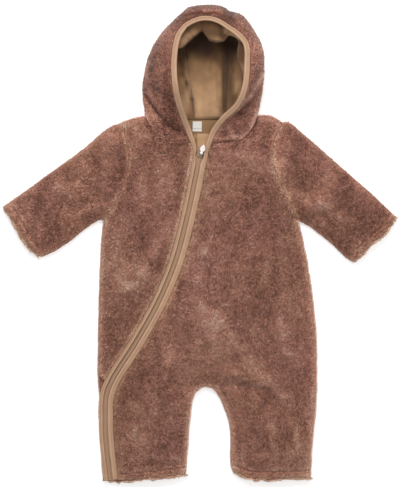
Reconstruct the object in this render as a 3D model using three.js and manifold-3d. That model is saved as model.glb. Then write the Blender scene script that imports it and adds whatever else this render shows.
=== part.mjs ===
// A hooded baby snowsuit of long-pile fleece, laid flat on its back with a diagonal zip.
// Millimetres, +Z up, +Y towards the hood. The origin is the middle of the underside.
// Right and left are the wearer's, so the right side has negative x.
import * as THREE from 'three';
import { mergeVertices } from 'three/addons/utils/BufferGeometryUtils.js';
import Module from 'manifold-3d';

const wasm = await Module();
wasm.setup();

// Driving sizes
const CLOTH = 6; // fleece wall: 4 of pile, 1 of ground and 1 of jersey
const SEAM = 0.3; // gap between two pieces at a seam
const SLOPED_SEAM = 0.45; // the same gap, measured along x or y where a seam runs at a slant
const AIR = 3.5; // most that the front lies above the back, inside the garment
const AIR_REACH = 45; // distance from an edge at which the front is that high
const LINING = 1; // jersey that shows in the hood and at the neck
const EDGE_ROUND = 14; // width of the roll along a folded or sewn outer edge
const EDGE_THICK = 2.8; // front wall left at that edge
const UNDER_ROUND = 6; // width over which the underside lifts at an outer edge
const UNDER_LIFT = 3.2;
const HEM_WIDTH = 11; // turned hem of legs and cuffs
const HEM_GROOVE = { depth: 1.4, half: 2.6 };
const FOLD_FADE = 20; // folds die out over this distance from an outer edge
const FOLD_END = 1.6; // and over this many of their widths past their ends
const LEAST_WALL = 0.8;

const CHAIN_TOP = 121.5; // y of the chain's end, below the slider
const CHAIN_HALF = 2.8;
const CHAIN_THICK = 2;
const TAPE_THICK = 0.9;
const BIND_THICK = 4.4;
const BIND_NEAR = 3.3; // from the middle of the zip to a binding's inner edge
const BIND_FAR = { right: 9, left: 12 }; // and to its outer edge
const BIND_PARTING = 0.8; // from that edge to the fleece
const NECK_SPREAD = { near: 2.2, nearFrom: 112, nearOver: 8, right: 5, rightFrom: 120, rightOver: 23 };
const BIND_TOP = { right: { near: 143, far: 141.3 }, left: { near: 139, far: 135 } };

const HOOD = {
  neckHeight: 15.8, sideHeight: 60, foreheadHeight: 50, waist: 0.45, neckWaist: 8,
  neckFloor: 10, sideFloor: 20, crownFloor: 11, neckShare: 0.33, bindWidth: 8, bindThick: 5.4,
};
const V_RIM = 0.4; // share of a hood panel's length from the rim to the outline
const V_FLOOR = 0.7; // share at which the panel reaches the floor

const FLEECE = { color: 0x80584c, roughness: 0.95 };
const JERSEY = { color: 0xa5825f, roughness: 0.85 };
const BINDING = { color: 0xa28068, roughness: 0.8 };
const TAPE = { color: 0x9c7c60, roughness: 0.8 };
const COIL = { color: 0xa38f7e, roughness: 0.5 };
const METAL = { color: 0xb9b2a8, roughness: 0.35, metalness: 0.8 };
const WHITE = { color: 0xf1efec, roughness: 0.5 };

// Outlines as laid, each a short list of points [x, y] that a smooth curve passes through
const ZIP = [
  [1.5, 143], [0, 127], [-7, 88], [-19, 32], [-34, -24], [-57, -80], [-88, -136],
  [-123, -192], [-131, -213], [-132.6, -248], [-131.6, -276], [-125.5, -332],
];
const ARMHOLE = {
  right: [[-108.5, 168.3], [-101.6, 139], [-100, 124], [-102, 101.5], [-114.5, 63.6], [-134.3, 31.6]],
  left: [[114.8, 168.7], [103.3, 142.5], [101.8, 124], [107, 97], [120.8, 66.6], [136.8, 31]],
};
const SIDE = {
  right: [[-134.3, 31.6], [-137, 1], [-140, -66], [-141.4, -136], [-142, -181], [-140, -213]],
  left: [[136.8, 31], [145.6, -8], [155.4, -66], [161.6, -130], [162.7, -197]],
};
const LEG_SIDE = {
  right: [[-140, -213], [-140.7, -234], [-138.6, -276], [-135, -332]],
  left: [[162.7, -197], [161.3, -230], [156, -286], [154, -328.6]],
};
const CROTCH = [7, -200];
const INSEAM = {
  right: [[7, -200], [2, -201.6], [-2.4, -205], [-8.4, -211], [-14.7, -246], [-18.2, -290], [-21, -325]],
  left: [
    [7, -200], [12, -200.8], [17.8, -203], [26, -212], [37.8, -239], [43.4, -263], [44, -311], [48, -322],
  ],
};
const LEG_HEM = {
  right: [[-135, -332], [-116, -334.3], [-70, -330.4], [-21, -325]],
  left: [[154, -328.6], [130, -330], [66, -329.4], [48, -322]],
};
const SLEEVE_OVER = {
  right: [[-108.5, 168.3], [-128, 161], [-158.5, 135], [-204, 101.5], [-266, 57], [-275, 51]],
  left: [[114.8, 168.7], [122.4, 169.7], [143.5, 153], [204, 100], [243.7, 65], [275, 35]],
};
const SLEEVE_UNDER = {
  right: [[-134.3, 31.6], [-140, 32.5], [-151, 27], [-195, -6], [-221, -18.5], [-227, -18.5]],
  left: [[136.8, 31], [149.7, 25.6], [181.6, 1.3], [210.4, -24.5], [217, -26.7]],
};
const CUFF = {
  right: [[-275, 51], [-257, 21], [-239, -8], [-227, -18.5]],
  left: [[275, 35], [259, 13.4], [237.7, -5], [217, -26.7]],
};
const SHOULDER = {
  right: [[-108.5, 168.3], [-94, 173.4], [-78, 177]],
  left: [[114.8, 168.7], [98, 177.6], [82, 178]],
};
// The front neckline is a chord with a bow, and the nape seam runs from its outer end
const NECKLINE = {
  right: { inner: [-15, 143], outer: [-78, 177], bow: [-7.6, -14.1], nape: [-8, 176] },
  left: { inner: [12, 137], outer: [82, 178], bow: [9.1, -15.5], nape: [36, 176] },
};
const RIM = {
  right: [[-15, 143], [-27, 173], [-37.8, 211], [-40.6, 255], [-34.6, 290], [-24, 305]],
  left: [
    [12, 137], [34, 168.6], [56.3, 190], [66.6, 214], [70.2, 246], [68.2, 279], [55, 295], [40, 305],
  ],
};
const HOOD_OUTLINE = {
  right: [[-78, 177], [-80.9, 222], [-68, 272], [-48, 301], [-24, 323]],
  left: [[82, 178], [89, 222], [89, 269], [78, 295], [58, 319], [40, 324.5]],
};
const BACK_SEAM = {
  right: [[-8, 176], [-14, 225], [-21, 270], [-23, 302]],
  left: [[36, 176], [39, 225], [41, 270], [40, 303]],
};
const CENTRE_BULGE = { rim: 12, outline: 8.5, floor: 4 };

// The largest folds of the front: ridges are positive and troughs negative
const FOLDS = [
  { from: [-36, -122], to: [-35, -212], width: 8, height: -2.4 },
  { from: [-52, -120], to: [-50, -205], width: 12, height: 2.6 },
  { from: [45, -196], to: [82, -206], width: 8, height: -2.6 },
  { from: [44, -182], to: [88, -194], width: 10, height: 3.4 },
  { from: [86, -250], to: [126, -296], width: 11, height: 3.2 },
  { from: [112, -246], to: [140, -282], width: 9, height: 2.2 },
  { from: [-8, -114], to: [36, -150], width: 11, height: 2.8 },
  { from: [-62, -8], to: [-76, -62], width: 12, height: 2.6 },
  { from: [22, 88], to: [62, 40], width: 14, height: 1.8 },
  { from: [128, 40], to: [176, 62], width: 11, height: 3.4 },
  { from: [150, 34], to: [214, -14], width: 12, height: 3 },
  { from: [-134, 44], to: [-178, 66], width: 11, height: 3 },
  { from: [-160, 42], to: [-222, 6], width: 12, height: 2.6 },
];

// Points, lines and blends
const mix = (a, b, t) => a + (b - a) * t;
const mixPoints = (p, q, t) => p.map((value, axis) => mix(value, q[axis], t));
const clamp = (value) => Math.min(1, Math.max(0, value));
const smooth = (value) => clamp(value) ** 2 * (3 - 2 * clamp(value));
const quarter = (value) => Math.sqrt(1 - (1 - clamp(value)) ** 2);
const even = (count) => Array.from({ length: count + 1 }, (_, step) => step / count);

function curve(points) {
  const corners = points.map(([x, y]) => new THREE.Vector3(x, y, 0));
  const path = new THREE.CatmullRomCurve3(corners, false, 'centripetal');
  path.arcLengthDivisions = 300;
  return (share) => {
    const point = path.getPointAt(clamp(share));
    return [point.x, point.y];
  };
}

const trace = (points, shares) => shares.map(curve(points));

// Each stretch of a line of points is parted into as many equal steps as its count says
function part(points, counts) {
  const steps = counts.flatMap((count, stretch) =>
    even(count).slice(1).map((share) => mixPoints(points[stretch], points[stretch + 1], share)));
  return [points[0], ...steps];
}

function shares(points) {
  const lengths = [0];
  points.slice(1).forEach(([x, y], at) => {
    lengths.push(lengths[at] + Math.hypot(x - points[at][0], y - points[at][1]));
  });
  return lengths.map((length) => length / lengths.at(-1));
}

function distanceTo(lines) {
  return (x, y) => {
    let nearest = Infinity;
    for (const line of lines) {
      for (let at = 1; at < line.length; at += 1) {
        const [ax, ay] = line[at - 1];
        const [bx, by] = [line[at][0] - ax, line[at][1] - ay];
        const along = clamp(((x - ax) * bx + (y - ay) * by) / (bx * bx + by * by));
        nearest = Math.min(nearest, Math.hypot(x - ax - along * bx, y - ay - along * by));
      }
    }
    return nearest;
  };
}

// Fills the space between four lines of points with rows that run from the top line to the bottom one
function fill(top, bottom, left, right) {
  const [acrossTop, acrossBottom, downLeft, downRight] = [top, bottom, left, right].map(shares);
  return left.map((leftPoint, row) => top.map((topPoint, column) => {
    const down = mix(downLeft[row], downRight[row], mix(acrossTop[column], acrossBottom[column], 0.5));
    const across = mix(acrossTop[column], acrossBottom[column], down);
    const corners = mixPoints(
      mixPoints(top[0], top.at(-1), across), mixPoints(bottom[0], bottom.at(-1), across), down);
    const rows = mixPoints(topPoint, bottom[column], down);
    const columns = mixPoints(leftPoint, right[row], across);
    return corners.map((value, axis) => rows[axis] + columns[axis] - value);
  }));
}

// Solids
function meshOf(name, geometry, { color, roughness, metalness = 0 }) {
  const mesh = new THREE.Mesh(geometry, new THREE.MeshStandardMaterial({ color, roughness, metalness }));
  mesh.name = name;
  geometry.computeVertexNormals();
  return mesh;
}

// A wall between an outer and an inner surface: each grid is rows of { outer, inner } points,
// grids and the two ends of a ring join where their outer points are the same, and free edges are closed
function wall(name, finish, ...grids) {
  const ids = new Map();
  const outer = [];
  const inner = [];
  const idOf = (point) => {
    const key = point.outer.map((value) => Math.round(value * 500)).join();
    if (!ids.has(key)) {
      ids.set(key, outer.length);
      outer.push(point.outer);
      inner.push(point.inner);
    }
    return ids.get(key);
  };
  const faces = [];
  const addFace = (a, b, c) => {
    if (a !== b && b !== c && c !== a) faces.push([a, b, c]);
  };
  for (const grid of grids) {
    const numbers = grid.map((row) => row.map(idOf));
    for (let row = 1; row < numbers.length; row += 1) {
      for (let column = 1; column < numbers[row].length; column += 1) {
        const [a, b] = [numbers[row - 1][column - 1], numbers[row - 1][column]];
        const [d, c] = [numbers[row][column - 1], numbers[row][column]];
        addFace(a, d, c);
        addFace(a, c, b);
      }
    }
  }
  const directed = new Set(faces.flatMap(([a, b, c]) => [`${a},${b}`, `${b},${c}`, `${c},${a}`]));
  const shift = outer.length;
  const triangles = faces.flatMap(([a, b, c]) => [[a, b, c], [a + shift, c + shift, b + shift]]);
  for (const edge of directed) {
    const [a, b] = edge.split(',').map(Number);
    if (!directed.has(`${b},${a}`)) triangles.push([b, a, a + shift], [b, a + shift, b + shift]);
  }
  const points = [...outer, ...inner];
  const corner = new THREE.Vector3();
  const volume = triangles.reduce((sum, [a, b, c]) => {
    corner.set(...points[a]).cross(new THREE.Vector3(...points[b]));
    return sum + corner.dot(new THREE.Vector3(...points[c]));
  }, 0);
  const order = volume < 0 ? triangles.map(([a, b, c]) => [a, c, b]) : triangles;
  const geometry = new THREE.BufferGeometry();
  geometry.setAttribute('position', new THREE.Float32BufferAttribute(points.flat(), 3));
  geometry.setIndex(order.flat());
  return meshOf(name, geometry, finish);
}

const layer = (grid, over, under) => grid.map((row) => row.map(([x, y]) => (
  { outer: [x, y, over(x, y)], inner: [x, y, under(x, y)] })));

// Heights of the front and back, from the distance to the outer edges of the garment
const EDGE_STEPS = even(24);
const bodyEdge = distanceTo([
  ...['right', 'left'].flatMap((side) => [
    [...trace(SIDE[side], EDGE_STEPS), ...trace(LEG_SIDE[side], EDGE_STEPS).slice(1)],
    trace(INSEAM[side], EDGE_STEPS),
    SHOULDER[side],
  ]),
]);
const hemDistance = distanceTo(['right', 'left'].map((side) => trace(LEG_HEM[side], EDGE_STEPS)));

function foldHeight(x, y) {
  return FOLDS.reduce((sum, { from, to, width, height }) => {
    const [dx, dy] = [to[0] - from[0], to[1] - from[1]];
    const length = Math.hypot(dx, dy);
    const along = ((x - from[0]) * dx + (y - from[1]) * dy) / length;
    const aside = ((x - from[0]) * dy - (y - from[1]) * dx) / length;
    const beyond = Math.max(0, -along, along - length);
    return sum + height * Math.exp(-((aside / width) ** 2) - (beyond / (FOLD_END * width)) ** 2);
  }, 0);
}

const groove = (distance) => HEM_GROOVE.depth * Math.exp(-(((distance - HEM_WIDTH) / HEM_GROOVE.half) ** 2));
const frontUnder = (x, y) => CLOTH + SEAM + AIR * smooth(bodyEdge(x, y) / AIR_REACH);
const frontOver = (x, y) => {
  const edge = bodyEdge(x, y);
  const thick = EDGE_THICK + (CLOTH - EDGE_THICK) * quarter(edge / EDGE_ROUND);
  const relief = foldHeight(x, y) * smooth(edge / FOLD_FADE) - groove(hemDistance(x, y));
  return frontUnder(x, y) + thick + Math.max(relief, LEAST_WALL - thick);
};
const backUnder = (x, y) => UNDER_LIFT * (1 - quarter(bodyEdge(x, y) / UNDER_ROUND));
const backOver = () => CLOTH;

// Steps across and down the body and legs, closer together along outer edges and hems
const ACROSS = {
  outer: [0, 0.03, 0.09, 0.22, 0.4, 0.6, 0.78, 0.91, 0.97, 1],
  free: [0, 0.12, 0.25, 0.38, 0.52, 0.66, 0.8, 0.91, 0.97, 1],
  tip: [0, 0.04, 0.12, 0.24, 0.36, 0.48, 0.6, 0.7, 0.8, 0.9, 0.95, 1],
};
const DOWN_ARMHOLE = [0, 0.035, 0.1, 0.22, 0.37, 0.52, 0.67, 0.8, 0.91, 0.967, 1];
const DOWN_SIDE = even(9);
const DOWN_SLEEVE = [0, 0.12, 0.25, 0.38, 0.51, 0.64, 0.76, 0.86, 0.915, 0.935, 0.955, 0.98, 1];
const DOWN_LEG = [0, 0.06, 0.14, 0.29, 0.44, 0.59, 0.73, 0.83, 0.895, 0.917, 0.94, 0.97, 1];
const PLAIN_DOWN_SIDE = even(6);
const PLAIN_DOWN_LEG = [0, 0.06, 0.14, 0.29, 0.44, 0.59, 0.73, 0.83, 1];
const reversed = (values) => values.map((value) => 1 - value).reverse();

const edgeDown = (side, armholeSteps, sideSteps) => [
  ...trace(ARMHOLE[side], armholeSteps), ...trace(SIDE[side], sideSteps).slice(1)];

// Shoulder and neck lines lie a seam's gap below the hood
const lowered = (points, by = SEAM) => points.map(([x, y]) => [x, y - by]);
const RIM_STEPS = 6;
const OUTLINE_STEPS = 4;
const FLOOR_STEPS = 3;
const HOOD_ROUND_STEPS = 12;
const rimTurn = (step) => Math.sin((step / RIM_STEPS) * Math.PI / 2);

function neckPoint({ inner, outer, bow }, share) {
  return mixPoints(inner, outer, share).map((value, axis) => value + bow[axis] * 4 * share * (1 - share));
}

// The neckline's points, moved from the hood by a seam's gap
function frontNeckline(side) {
  const neck = NECKLINE[side];
  const length = Math.hypot(...neck.bow);
  return Array.from({ length: RIM_STEPS + 1 }, (_, step) =>
    neckPoint(neck, rimTurn(step)).map((value, axis) => value + SLOPED_SEAM * neck.bow[axis] / length));
}

// The zip's middle line, and lines beside it: a positive offset lies towards the wearer's left
const zipAt = curve(ZIP);
function zipPoint(share, offset) {
  const step = 0.004;
  const [ax, ay] = zipAt(share - step);
  const [bx, by] = zipAt(share + step);
  const length = Math.hypot(bx - ax, by - ay);
  const [x, y] = zipAt(share);
  return [x - (by - ay) / length * offset, y + (bx - ax) / length * offset];
}
function zipShare(y) {
  let [low, high] = [0, 1];
  for (let turn = 0; turn < 30; turn += 1) {
    const middle = (low + high) / 2;
    if (zipAt(middle)[1] > y) low = middle;
    else high = middle;
  }
  return low;
}

// A point beside the zip, where across runs from the inner edge of a side's binding to its outer edge
function bindingPoint(side, share, across, beyond = 0) {
  const y = zipAt(share)[1];
  const near = BIND_NEAR + NECK_SPREAD.near * smooth((y - NECK_SPREAD.nearFrom) / NECK_SPREAD.nearOver);
  const spread = side === 'right' ? smooth((y - NECK_SPREAD.rightFrom) / NECK_SPREAD.rightOver) : 0;
  const offset = mix(near, BIND_FAR[side] + NECK_SPREAD.right * spread, across) + beyond;
  return zipPoint(share, side === 'right' ? -offset : offset);
}
const zipEdge = (side, from, to, steps) =>
  steps.map((step) => bindingPoint(side, mix(from, to, step), 1, BIND_PARTING));

const RIGHT_TIP = zipShare(-196);
const CROTCH_ON_ZIP = zipShare(-211);

function backPanel() {
  const crossing = [LEG_SIDE.right[0], CROTCH, LEG_SIDE.left[0]];
  const shoulder = lowered([
    ...SHOULDER.right.slice(0, -1), NECKLINE.right.outer, NECKLINE.right.nape,
    NECKLINE.left.nape, NECKLINE.left.outer, ...SHOULDER.left.slice(0, -1).reverse()]);
  const top = part(shoulder, [1, 1, 4, 4, 4, 2, 2]);
  const halfRight = ACROSS.outer.map((share) => mixPoints(crossing[0], crossing[1], share));
  const halfLeft = ACROSS.outer.map((share) => mixPoints(crossing[1], crossing[2], share));
  const left = edgeDown('right', DOWN_ARMHOLE, PLAIN_DOWN_SIDE);
  const right = edgeDown('left', DOWN_ARMHOLE, PLAIN_DOWN_SIDE);
  left[0] = top[0];
  right[0] = top.at(-1);
  const body = fill(top, [...halfRight, ...halfLeft.slice(1)], left, right);
  const legRight = fill(
    halfRight, trace(LEG_HEM.right, ACROSS.outer),
    trace(LEG_SIDE.right, PLAIN_DOWN_LEG), trace(INSEAM.right, PLAIN_DOWN_LEG));
  const legLeft = fill(
    halfLeft, trace(LEG_HEM.left, reversed(ACROSS.outer)).reverse(),
    trace(INSEAM.left, PLAIN_DOWN_LEG), trace(LEG_SIDE.left, PLAIN_DOWN_LEG));
  const grids = [body, legRight, legLeft];
  return wall('back_panel', FLEECE, ...grids.map((grid) => layer(grid, backOver, backUnder)));
}

function frontLeft() {
  const right = edgeDown('left', DOWN_ARMHOLE, DOWN_SIDE);
  const left = zipEdge('left', zipShare(BIND_TOP.left.far), CROTCH_ON_ZIP, shares(right));
  const neck = [left[0], ...frontNeckline('left').slice(1)];
  const top = part([...neck, ...SHOULDER.left.slice(0, -1).reverse()], [3, 2, 2, 2, 1, 1, 3, 4]);
  const halfRight = ACROSS.free.map((share) => mixPoints(left.at(-1), CROTCH, share));
  const halfLeft = ACROSS.outer.map((share) => mixPoints(CROTCH, LEG_SIDE.left[0], share));
  const body = fill(top, [...halfRight, ...halfLeft.slice(1)], left, right);
  const zipLeg = zipEdge('left', CROTCH_ON_ZIP, 1, DOWN_LEG);
  const hemRight = trace([zipLeg.at(-1), ...LEG_HEM.right.slice(2)], ACROSS.free);
  const legRight = fill(halfRight, hemRight, zipLeg, trace(INSEAM.right, DOWN_LEG));
  const legLeft = fill(
    halfLeft, trace(LEG_HEM.left, reversed(ACROSS.outer)).reverse(),
    trace(INSEAM.left, DOWN_LEG), trace(LEG_SIDE.left, DOWN_LEG));
  const grids = [body, legRight, legLeft];
  return wall('front_left', FLEECE, ...grids.map((grid) => layer(grid, frontOver, frontUnder)));
}

function frontRight() {
  const neck = frontNeckline('right').reverse();
  const top = part([...SHOULDER.right.slice(0, -1), ...neck], [2, 1, 1, 1, 1, 1, 2, 2]);
  const side = edgeDown('right', DOWN_ARMHOLE, DOWN_SIDE.slice(0, -1));
  const edge = zipEdge('right', zipShare(BIND_TOP.right.far), RIGHT_TIP, shares(side));
  const right = [top.at(-1), ...edge.slice(1)];
  const tip = right.at(-1);
  const bottom = ACROSS.tip.map((share) => mixPoints(side.at(-1), tip, share));
  return wall('front_right', FLEECE, layer(fill(top, bottom, side, right), frontOver, frontUnder));
}

// A sleeve is a flattened tube: one ring of points runs over the top and back along the underside
function sleeve(side) {
  const across = DOWN_ARMHOLE;
  const parting = side === 'right' ? -SLOPED_SEAM : SLOPED_SEAM;
  const armhole = trace(ARMHOLE[side], across).map(([x, y]) => [x + parting, y]);
  const cuff = trace(CUFF[side], across);
  const over = trace(SLEEVE_OVER[side], DOWN_SLEEVE);
  const under = trace(SLEEVE_UNDER[side], DOWN_SLEEVE);
  [over[0], under[0]] = [armhole[0], armhole.at(-1)];
  const plan = fill(armhole, cuff, over, under);
  const edge = distanceTo([over, under]);
  const cuffDistance = distanceTo([cuff]);
  const middle = CLOTH + SEAM / 2;
  const air = (x, y) => AIR * smooth((edge(x, y) - CLOTH) / AIR_REACH);
  const overHeight = (x, y) => {
    const relief = foldHeight(x, y) * smooth(edge(x, y) / FOLD_FADE) - groove(cuffDistance(x, y));
    return middle + (CLOTH + relief) * quarter(edge(x, y) / EDGE_ROUND) + air(x, y);
  };
  const underHeight = (x, y) => middle * (1 - quarter(edge(x, y) / UNDER_ROUND));
  const ring = plan.map((row) => {
    const width = Math.hypot(row[0][0] - row.at(-1)[0], row[0][1] - row.at(-1)[1]);
    const inset = CLOTH / width;
    const last = row.length - 1;
    const insidePoint = (column) => {
      const share = inset + across[column] * (1 - 2 * inset);
      const after = Math.max(1, across.findIndex((value) => value >= share));
      const local = (share - across[after - 1]) / (across[after] - across[after - 1]);
      return mixPoints(row[after - 1], row[after], local);
    };
    const overPoints = row.map(([x, y], column) => {
      const [ix, iy] = insidePoint(column);
      return { outer: [x, y, overHeight(x, y)], inner: [ix, iy, middle + air(ix, iy)] };
    });
    const underPoints = row.map(([x, y], column) => {
      const [ix, iy] = insidePoint(column);
      const drop = column === 0 || column === last ? 0 : SEAM / 2;
      return { outer: [x, y, underHeight(x, y)], inner: [ix, iy, middle - drop] };
    });
    return [...overPoints, ...underPoints.slice(0, -1).reverse()];
  });
  return wall(`sleeve_${side}`, FLEECE, ring);
}

// The hood. A side panel's point for u, from neck seam to forehead seam, and v, from the rim over
// the outline and along the floor to the seam with the centre panel, at a depth inside the outer face
function hoodSide(side) {
  const rim = curve(RIM[side]);
  const outline = curve(HOOD_OUTLINE[side]);
  const seam = curve(BACK_SEAM[side]);
  const { bow } = NECKLINE[side];
  return (u, v, depth) => {
    const rise = smooth(2 * u);
    const fall = smooth(2 * u - 1);
    const height = mix(mix(HOOD.neckHeight, HOOD.sideHeight, rise), HOOD.foreheadHeight, fall);
    const waist = mix(HOOD.neckWaist, HOOD.waist * height, smooth(u / HOOD.neckShare));
    const reach = mix(mix(HOOD.neckFloor, HOOD.sideFloor, rise), HOOD.crownFloor, fall);
    const [top, edge, end] = [rim(u), outline(u), seam(u)];
    const gap = Math.hypot(end[0] - edge[0], end[1] - edge[1]);
    const inward = [(end[0] - edge[0]) / gap, (end[1] - edge[1]) / gap];
    const inside = edge.map((value, axis) => value + inward[axis] * depth);
    const floor = edge.map((value, axis) => value + inward[axis] * Math.max(reach, depth + 2));
    if (v <= V_RIM) {
      const turn = (v / V_RIM) * Math.PI / 2;
      const share = Math.sin(turn);
      const sag = 4 * share * (1 - share) * (1 - smooth(u / HOOD.neckShare));
      const plan = mixPoints(top, inside, share).map((value, axis) => value + bow[axis] * sag);
      return [...plan, waist + (height - depth - waist) * Math.cos(turn)];
    }
    if (v <= V_FLOOR) {
      const turn = ((v - V_RIM) / (V_FLOOR - V_RIM)) * Math.PI / 2;
      return [...mixPoints(floor, inside, Math.cos(turn)), waist - (waist - depth) * Math.sin(turn)];
    }
    return [...mixPoints(floor, end, (v - V_FLOOR) / (1 - V_FLOOR)), depth];
  };
}
const HOOD_SIDES = { right: hoodSide('right'), left: hoodSide('left') };
const HOOD_U = even(HOOD_ROUND_STEPS);
const HOOD_V = [
  ...even(RIM_STEPS).map((step) => step * V_RIM),
  ...even(OUTLINE_STEPS).slice(1).map((step) => mix(V_RIM, V_FLOOR, step)),
  ...even(FLOOR_STEPS).slice(1).map((step) => mix(V_FLOOR, 1, step)),
];
const HOOD_LAYERS = { shell: [0, CLOTH], lining: [CLOTH + SEAM, CLOTH + SEAM + LINING] };

function hoodSidePanel(name, side, finish, [outside, inside]) {
  const at = HOOD_SIDES[side];
  const grid = HOOD_U.map((u) => HOOD_V.map((v) => ({ outer: at(u, v, outside), inner: at(u, v, inside) })));
  return wall(name, finish, grid);
}

// The centre panel's two long edges follow the side panels' seams from the forehead to the nape
const CENTRE_STEPS = [
  ...HOOD_V.map((v) => ({ u: 1, v })),
  ...[...HOOD_U].reverse().slice(1).map((u) => ({ u, v: 1 })),
];
function centrePoint({ u, v }, across, depth) {
  const from = HOOD_SIDES.right(u, v, depth);
  const to = HOOD_SIDES.left(u, v, depth);
  const parting = SLOPED_SEAM / (to[0] - from[0]);
  const share = mix(parting, 1 - parting, across);
  const { rim, outline, floor } = CENTRE_BULGE;
  const overRim = mix(rim, outline, smooth(v / V_RIM));
  const overFloor = mix(overRim, floor, smooth((v - V_RIM) / (V_FLOOR - V_RIM)));
  const bulge = overFloor * (1 - smooth((1 - u) / HOOD.neckShare));
  const [x, y, z] = mixPoints(from, to, share);
  return [x, y + bulge * 4 * share * (1 - share), z];
}
function hoodCentrePanel(name, finish, [outside, inside]) {
  const grid = CENTRE_STEPS.map((step) => even(6).map((across) => (
    { outer: centrePoint(step, across, outside), inner: centrePoint(step, across, inside) })));
  return wall(name, finish, grid);
}

// The binding round the face opening lies just inside the rim
function hoodBinding() {
  const round = even(16);
  const path = [
    ...round.slice(0, -1).map((u) => HOOD_SIDES.right(u, 0, 0)),
    ...even(8).map((across) => centrePoint({ u: 1, v: 0 }, across, 0)),
    ...[...round].reverse().slice(1).map((u) => HOOD_SIDES.left(u, 0, 0)),
  ];
  const section = [[0.1, -1.6], [0.35, 0.2], [0.7, 0.6], [1, -1.4]];
  const grid = path.map(([x, y, z], at) => {
    const [before, after] = [path[Math.max(0, at - 1)], path[Math.min(path.length - 1, at + 1)]];
    const [dx, dy] = [after[0] - before[0], after[1] - before[1]];
    const length = Math.hypot(dx, dy);
    return section.map(([share, lift]) => {
      const offset = SEAM + HOOD.bindWidth * share;
      const plan = [x + dy / length * offset, y - dx / length * offset];
      return { outer: [...plan, z + lift], inner: [...plan, z - HOOD.bindThick + Math.abs(lift) * 0.2] };
    });
  });
  return wall('hood_binding', BINDING, grid);
}

// Ribbons along the zip. Each column has its share of the way across a side's binding,
// and its heights above the front's underside
const ZIP_STEPS = 32;
function ribbon(name, finish, pointAt, tops, columns) {
  const grid = even(ZIP_STEPS).map((step) => columns.map(({ across, over, under }) => {
    const share = mix(zipShare(mix(tops.near, tops.far, across)), 1, step);
    const base = frontUnder(...zipAt(share));
    const plan = pointAt(share, across);
    return { outer: [...plan, base + over], inner: [...plan, base + under] };
  }));
  return wall(name, finish, grid);
}

const CHAIN_UNDER = TAPE_THICK + SEAM;
const BIND_PROFILE = [
  { across: 0, share: 0.75 },
  { across: 0.25, share: 1 },
  { across: 0.7, share: 0.85 },
  { across: 1, share: 0.5 },
];

const tapeMiddle = (side, share) => zipPoint(share, side === 'right' ? -SEAM / 2 : SEAM / 2);

function zipPieces() {
  const chainTop = { near: CHAIN_TOP, far: CHAIN_TOP };
  const coil = [{ across: -1, share: 0.6 }, { across: 0, share: 1 }, { across: 1, share: 0.6 }].map(
    ({ across, share }) => ({ across, over: CHAIN_UNDER + CHAIN_THICK * share, under: CHAIN_UNDER }));
  const chainAt = (share, across) => zipPoint(share, CHAIN_HALF * across);
  const bindings = ['right', 'left'].map((side) => ribbon(
    `binding_${side}`, BINDING, (share, across) => bindingPoint(side, share, across), BIND_TOP[side],
    BIND_PROFILE.map(({ across, share }) => (
      { across, over: CHAIN_UNDER + BIND_THICK * share, under: CHAIN_UNDER }))));
  const tapes = ['right', 'left'].map((side) => ribbon(
    `zip_tape_${side}`, TAPE,
    (share, across) => mixPoints(tapeMiddle(side, share), bindingPoint(side, share, 1), across),
    chainTop, [0, 1].map((across) => ({ across, over: TAPE_THICK, under: 0 }))));
  return [...tapes, ribbon('zip_chain', COIL, chainAt, chainTop, coil), ...bindings];
}

// Flat pieces that show in the neck opening, stacked on the back panel
const flatPiece = (name, finish, outline, under, thick) => {
  const shape = new THREE.Shape(outline.map(([x, y]) => new THREE.Vector2(x, y)));
  const geometry = new THREE.ExtrudeGeometry(shape, { depth: thick, bevelEnabled: false });
  geometry.translate(0, 0, under);
  return meshOf(name, geometry, finish);
};
const NECK_LINING_TOP = CLOTH + SEAM + LINING;
const LABEL = { thick: 0.6, outline: [[-10.5, 156], [2.5, 155.7], [2.7, 170], [-10.2, 170.1]] };
const GUARD = {
  thick: 0.9,
  outline: [[-9, 113], [15, 112], [18, 140], [14, 150], [5, 153], [-4, 151], [-9, 143]],
};

function neckPieces() {
  const lining = [[-40, 118], [50, 118], [56, 150], [54, 175.2], [-42, 175.2], [-46, 150]];
  return [
    flatPiece('back_neck_lining', JERSEY, lining, CLOTH + SEAM, LINING),
    flatPiece('neck_label', WHITE, LABEL.outline, NECK_LINING_TOP + SEAM, LABEL.thick),
    flatPiece('zip_guard', JERSEY, GUARD.outline, NECK_LINING_TOP + SEAM, GUARD.thick),
  ];
}

// The slider and its pull tab, in a frame at the pull's pin with y along the pull
const PULL = {
  pin: [1.8, 125.6, 16.9], yaw: -0.3, pinRadius: 0.7, eyeHole: 1, eyeRadius: 1.9, eyeHalf: 1.8,
  thick: 1.5, neckHalf: 1.4, neckFrom: 2.7, widest: 4, wideAt: 7, tip: 12.4, tipHalf: 0.9,
};
const SLIDER = {
  right: -4.5, left: 2.5, front: 4.6, back: -5.4,
  plateTop: 14.4, plateUnder: 13.3, baseTop: 9.5, baseUnder: 8.8,
  postHalf: 1, postFrom: 0.4, postTo: 2.6, earFrom: 2.1, earTo: 3.1, earHalf: 1.3, earTop: 18.2,
};
const JOINED = 0.2; // parts of the slider reach this far into each other

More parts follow.
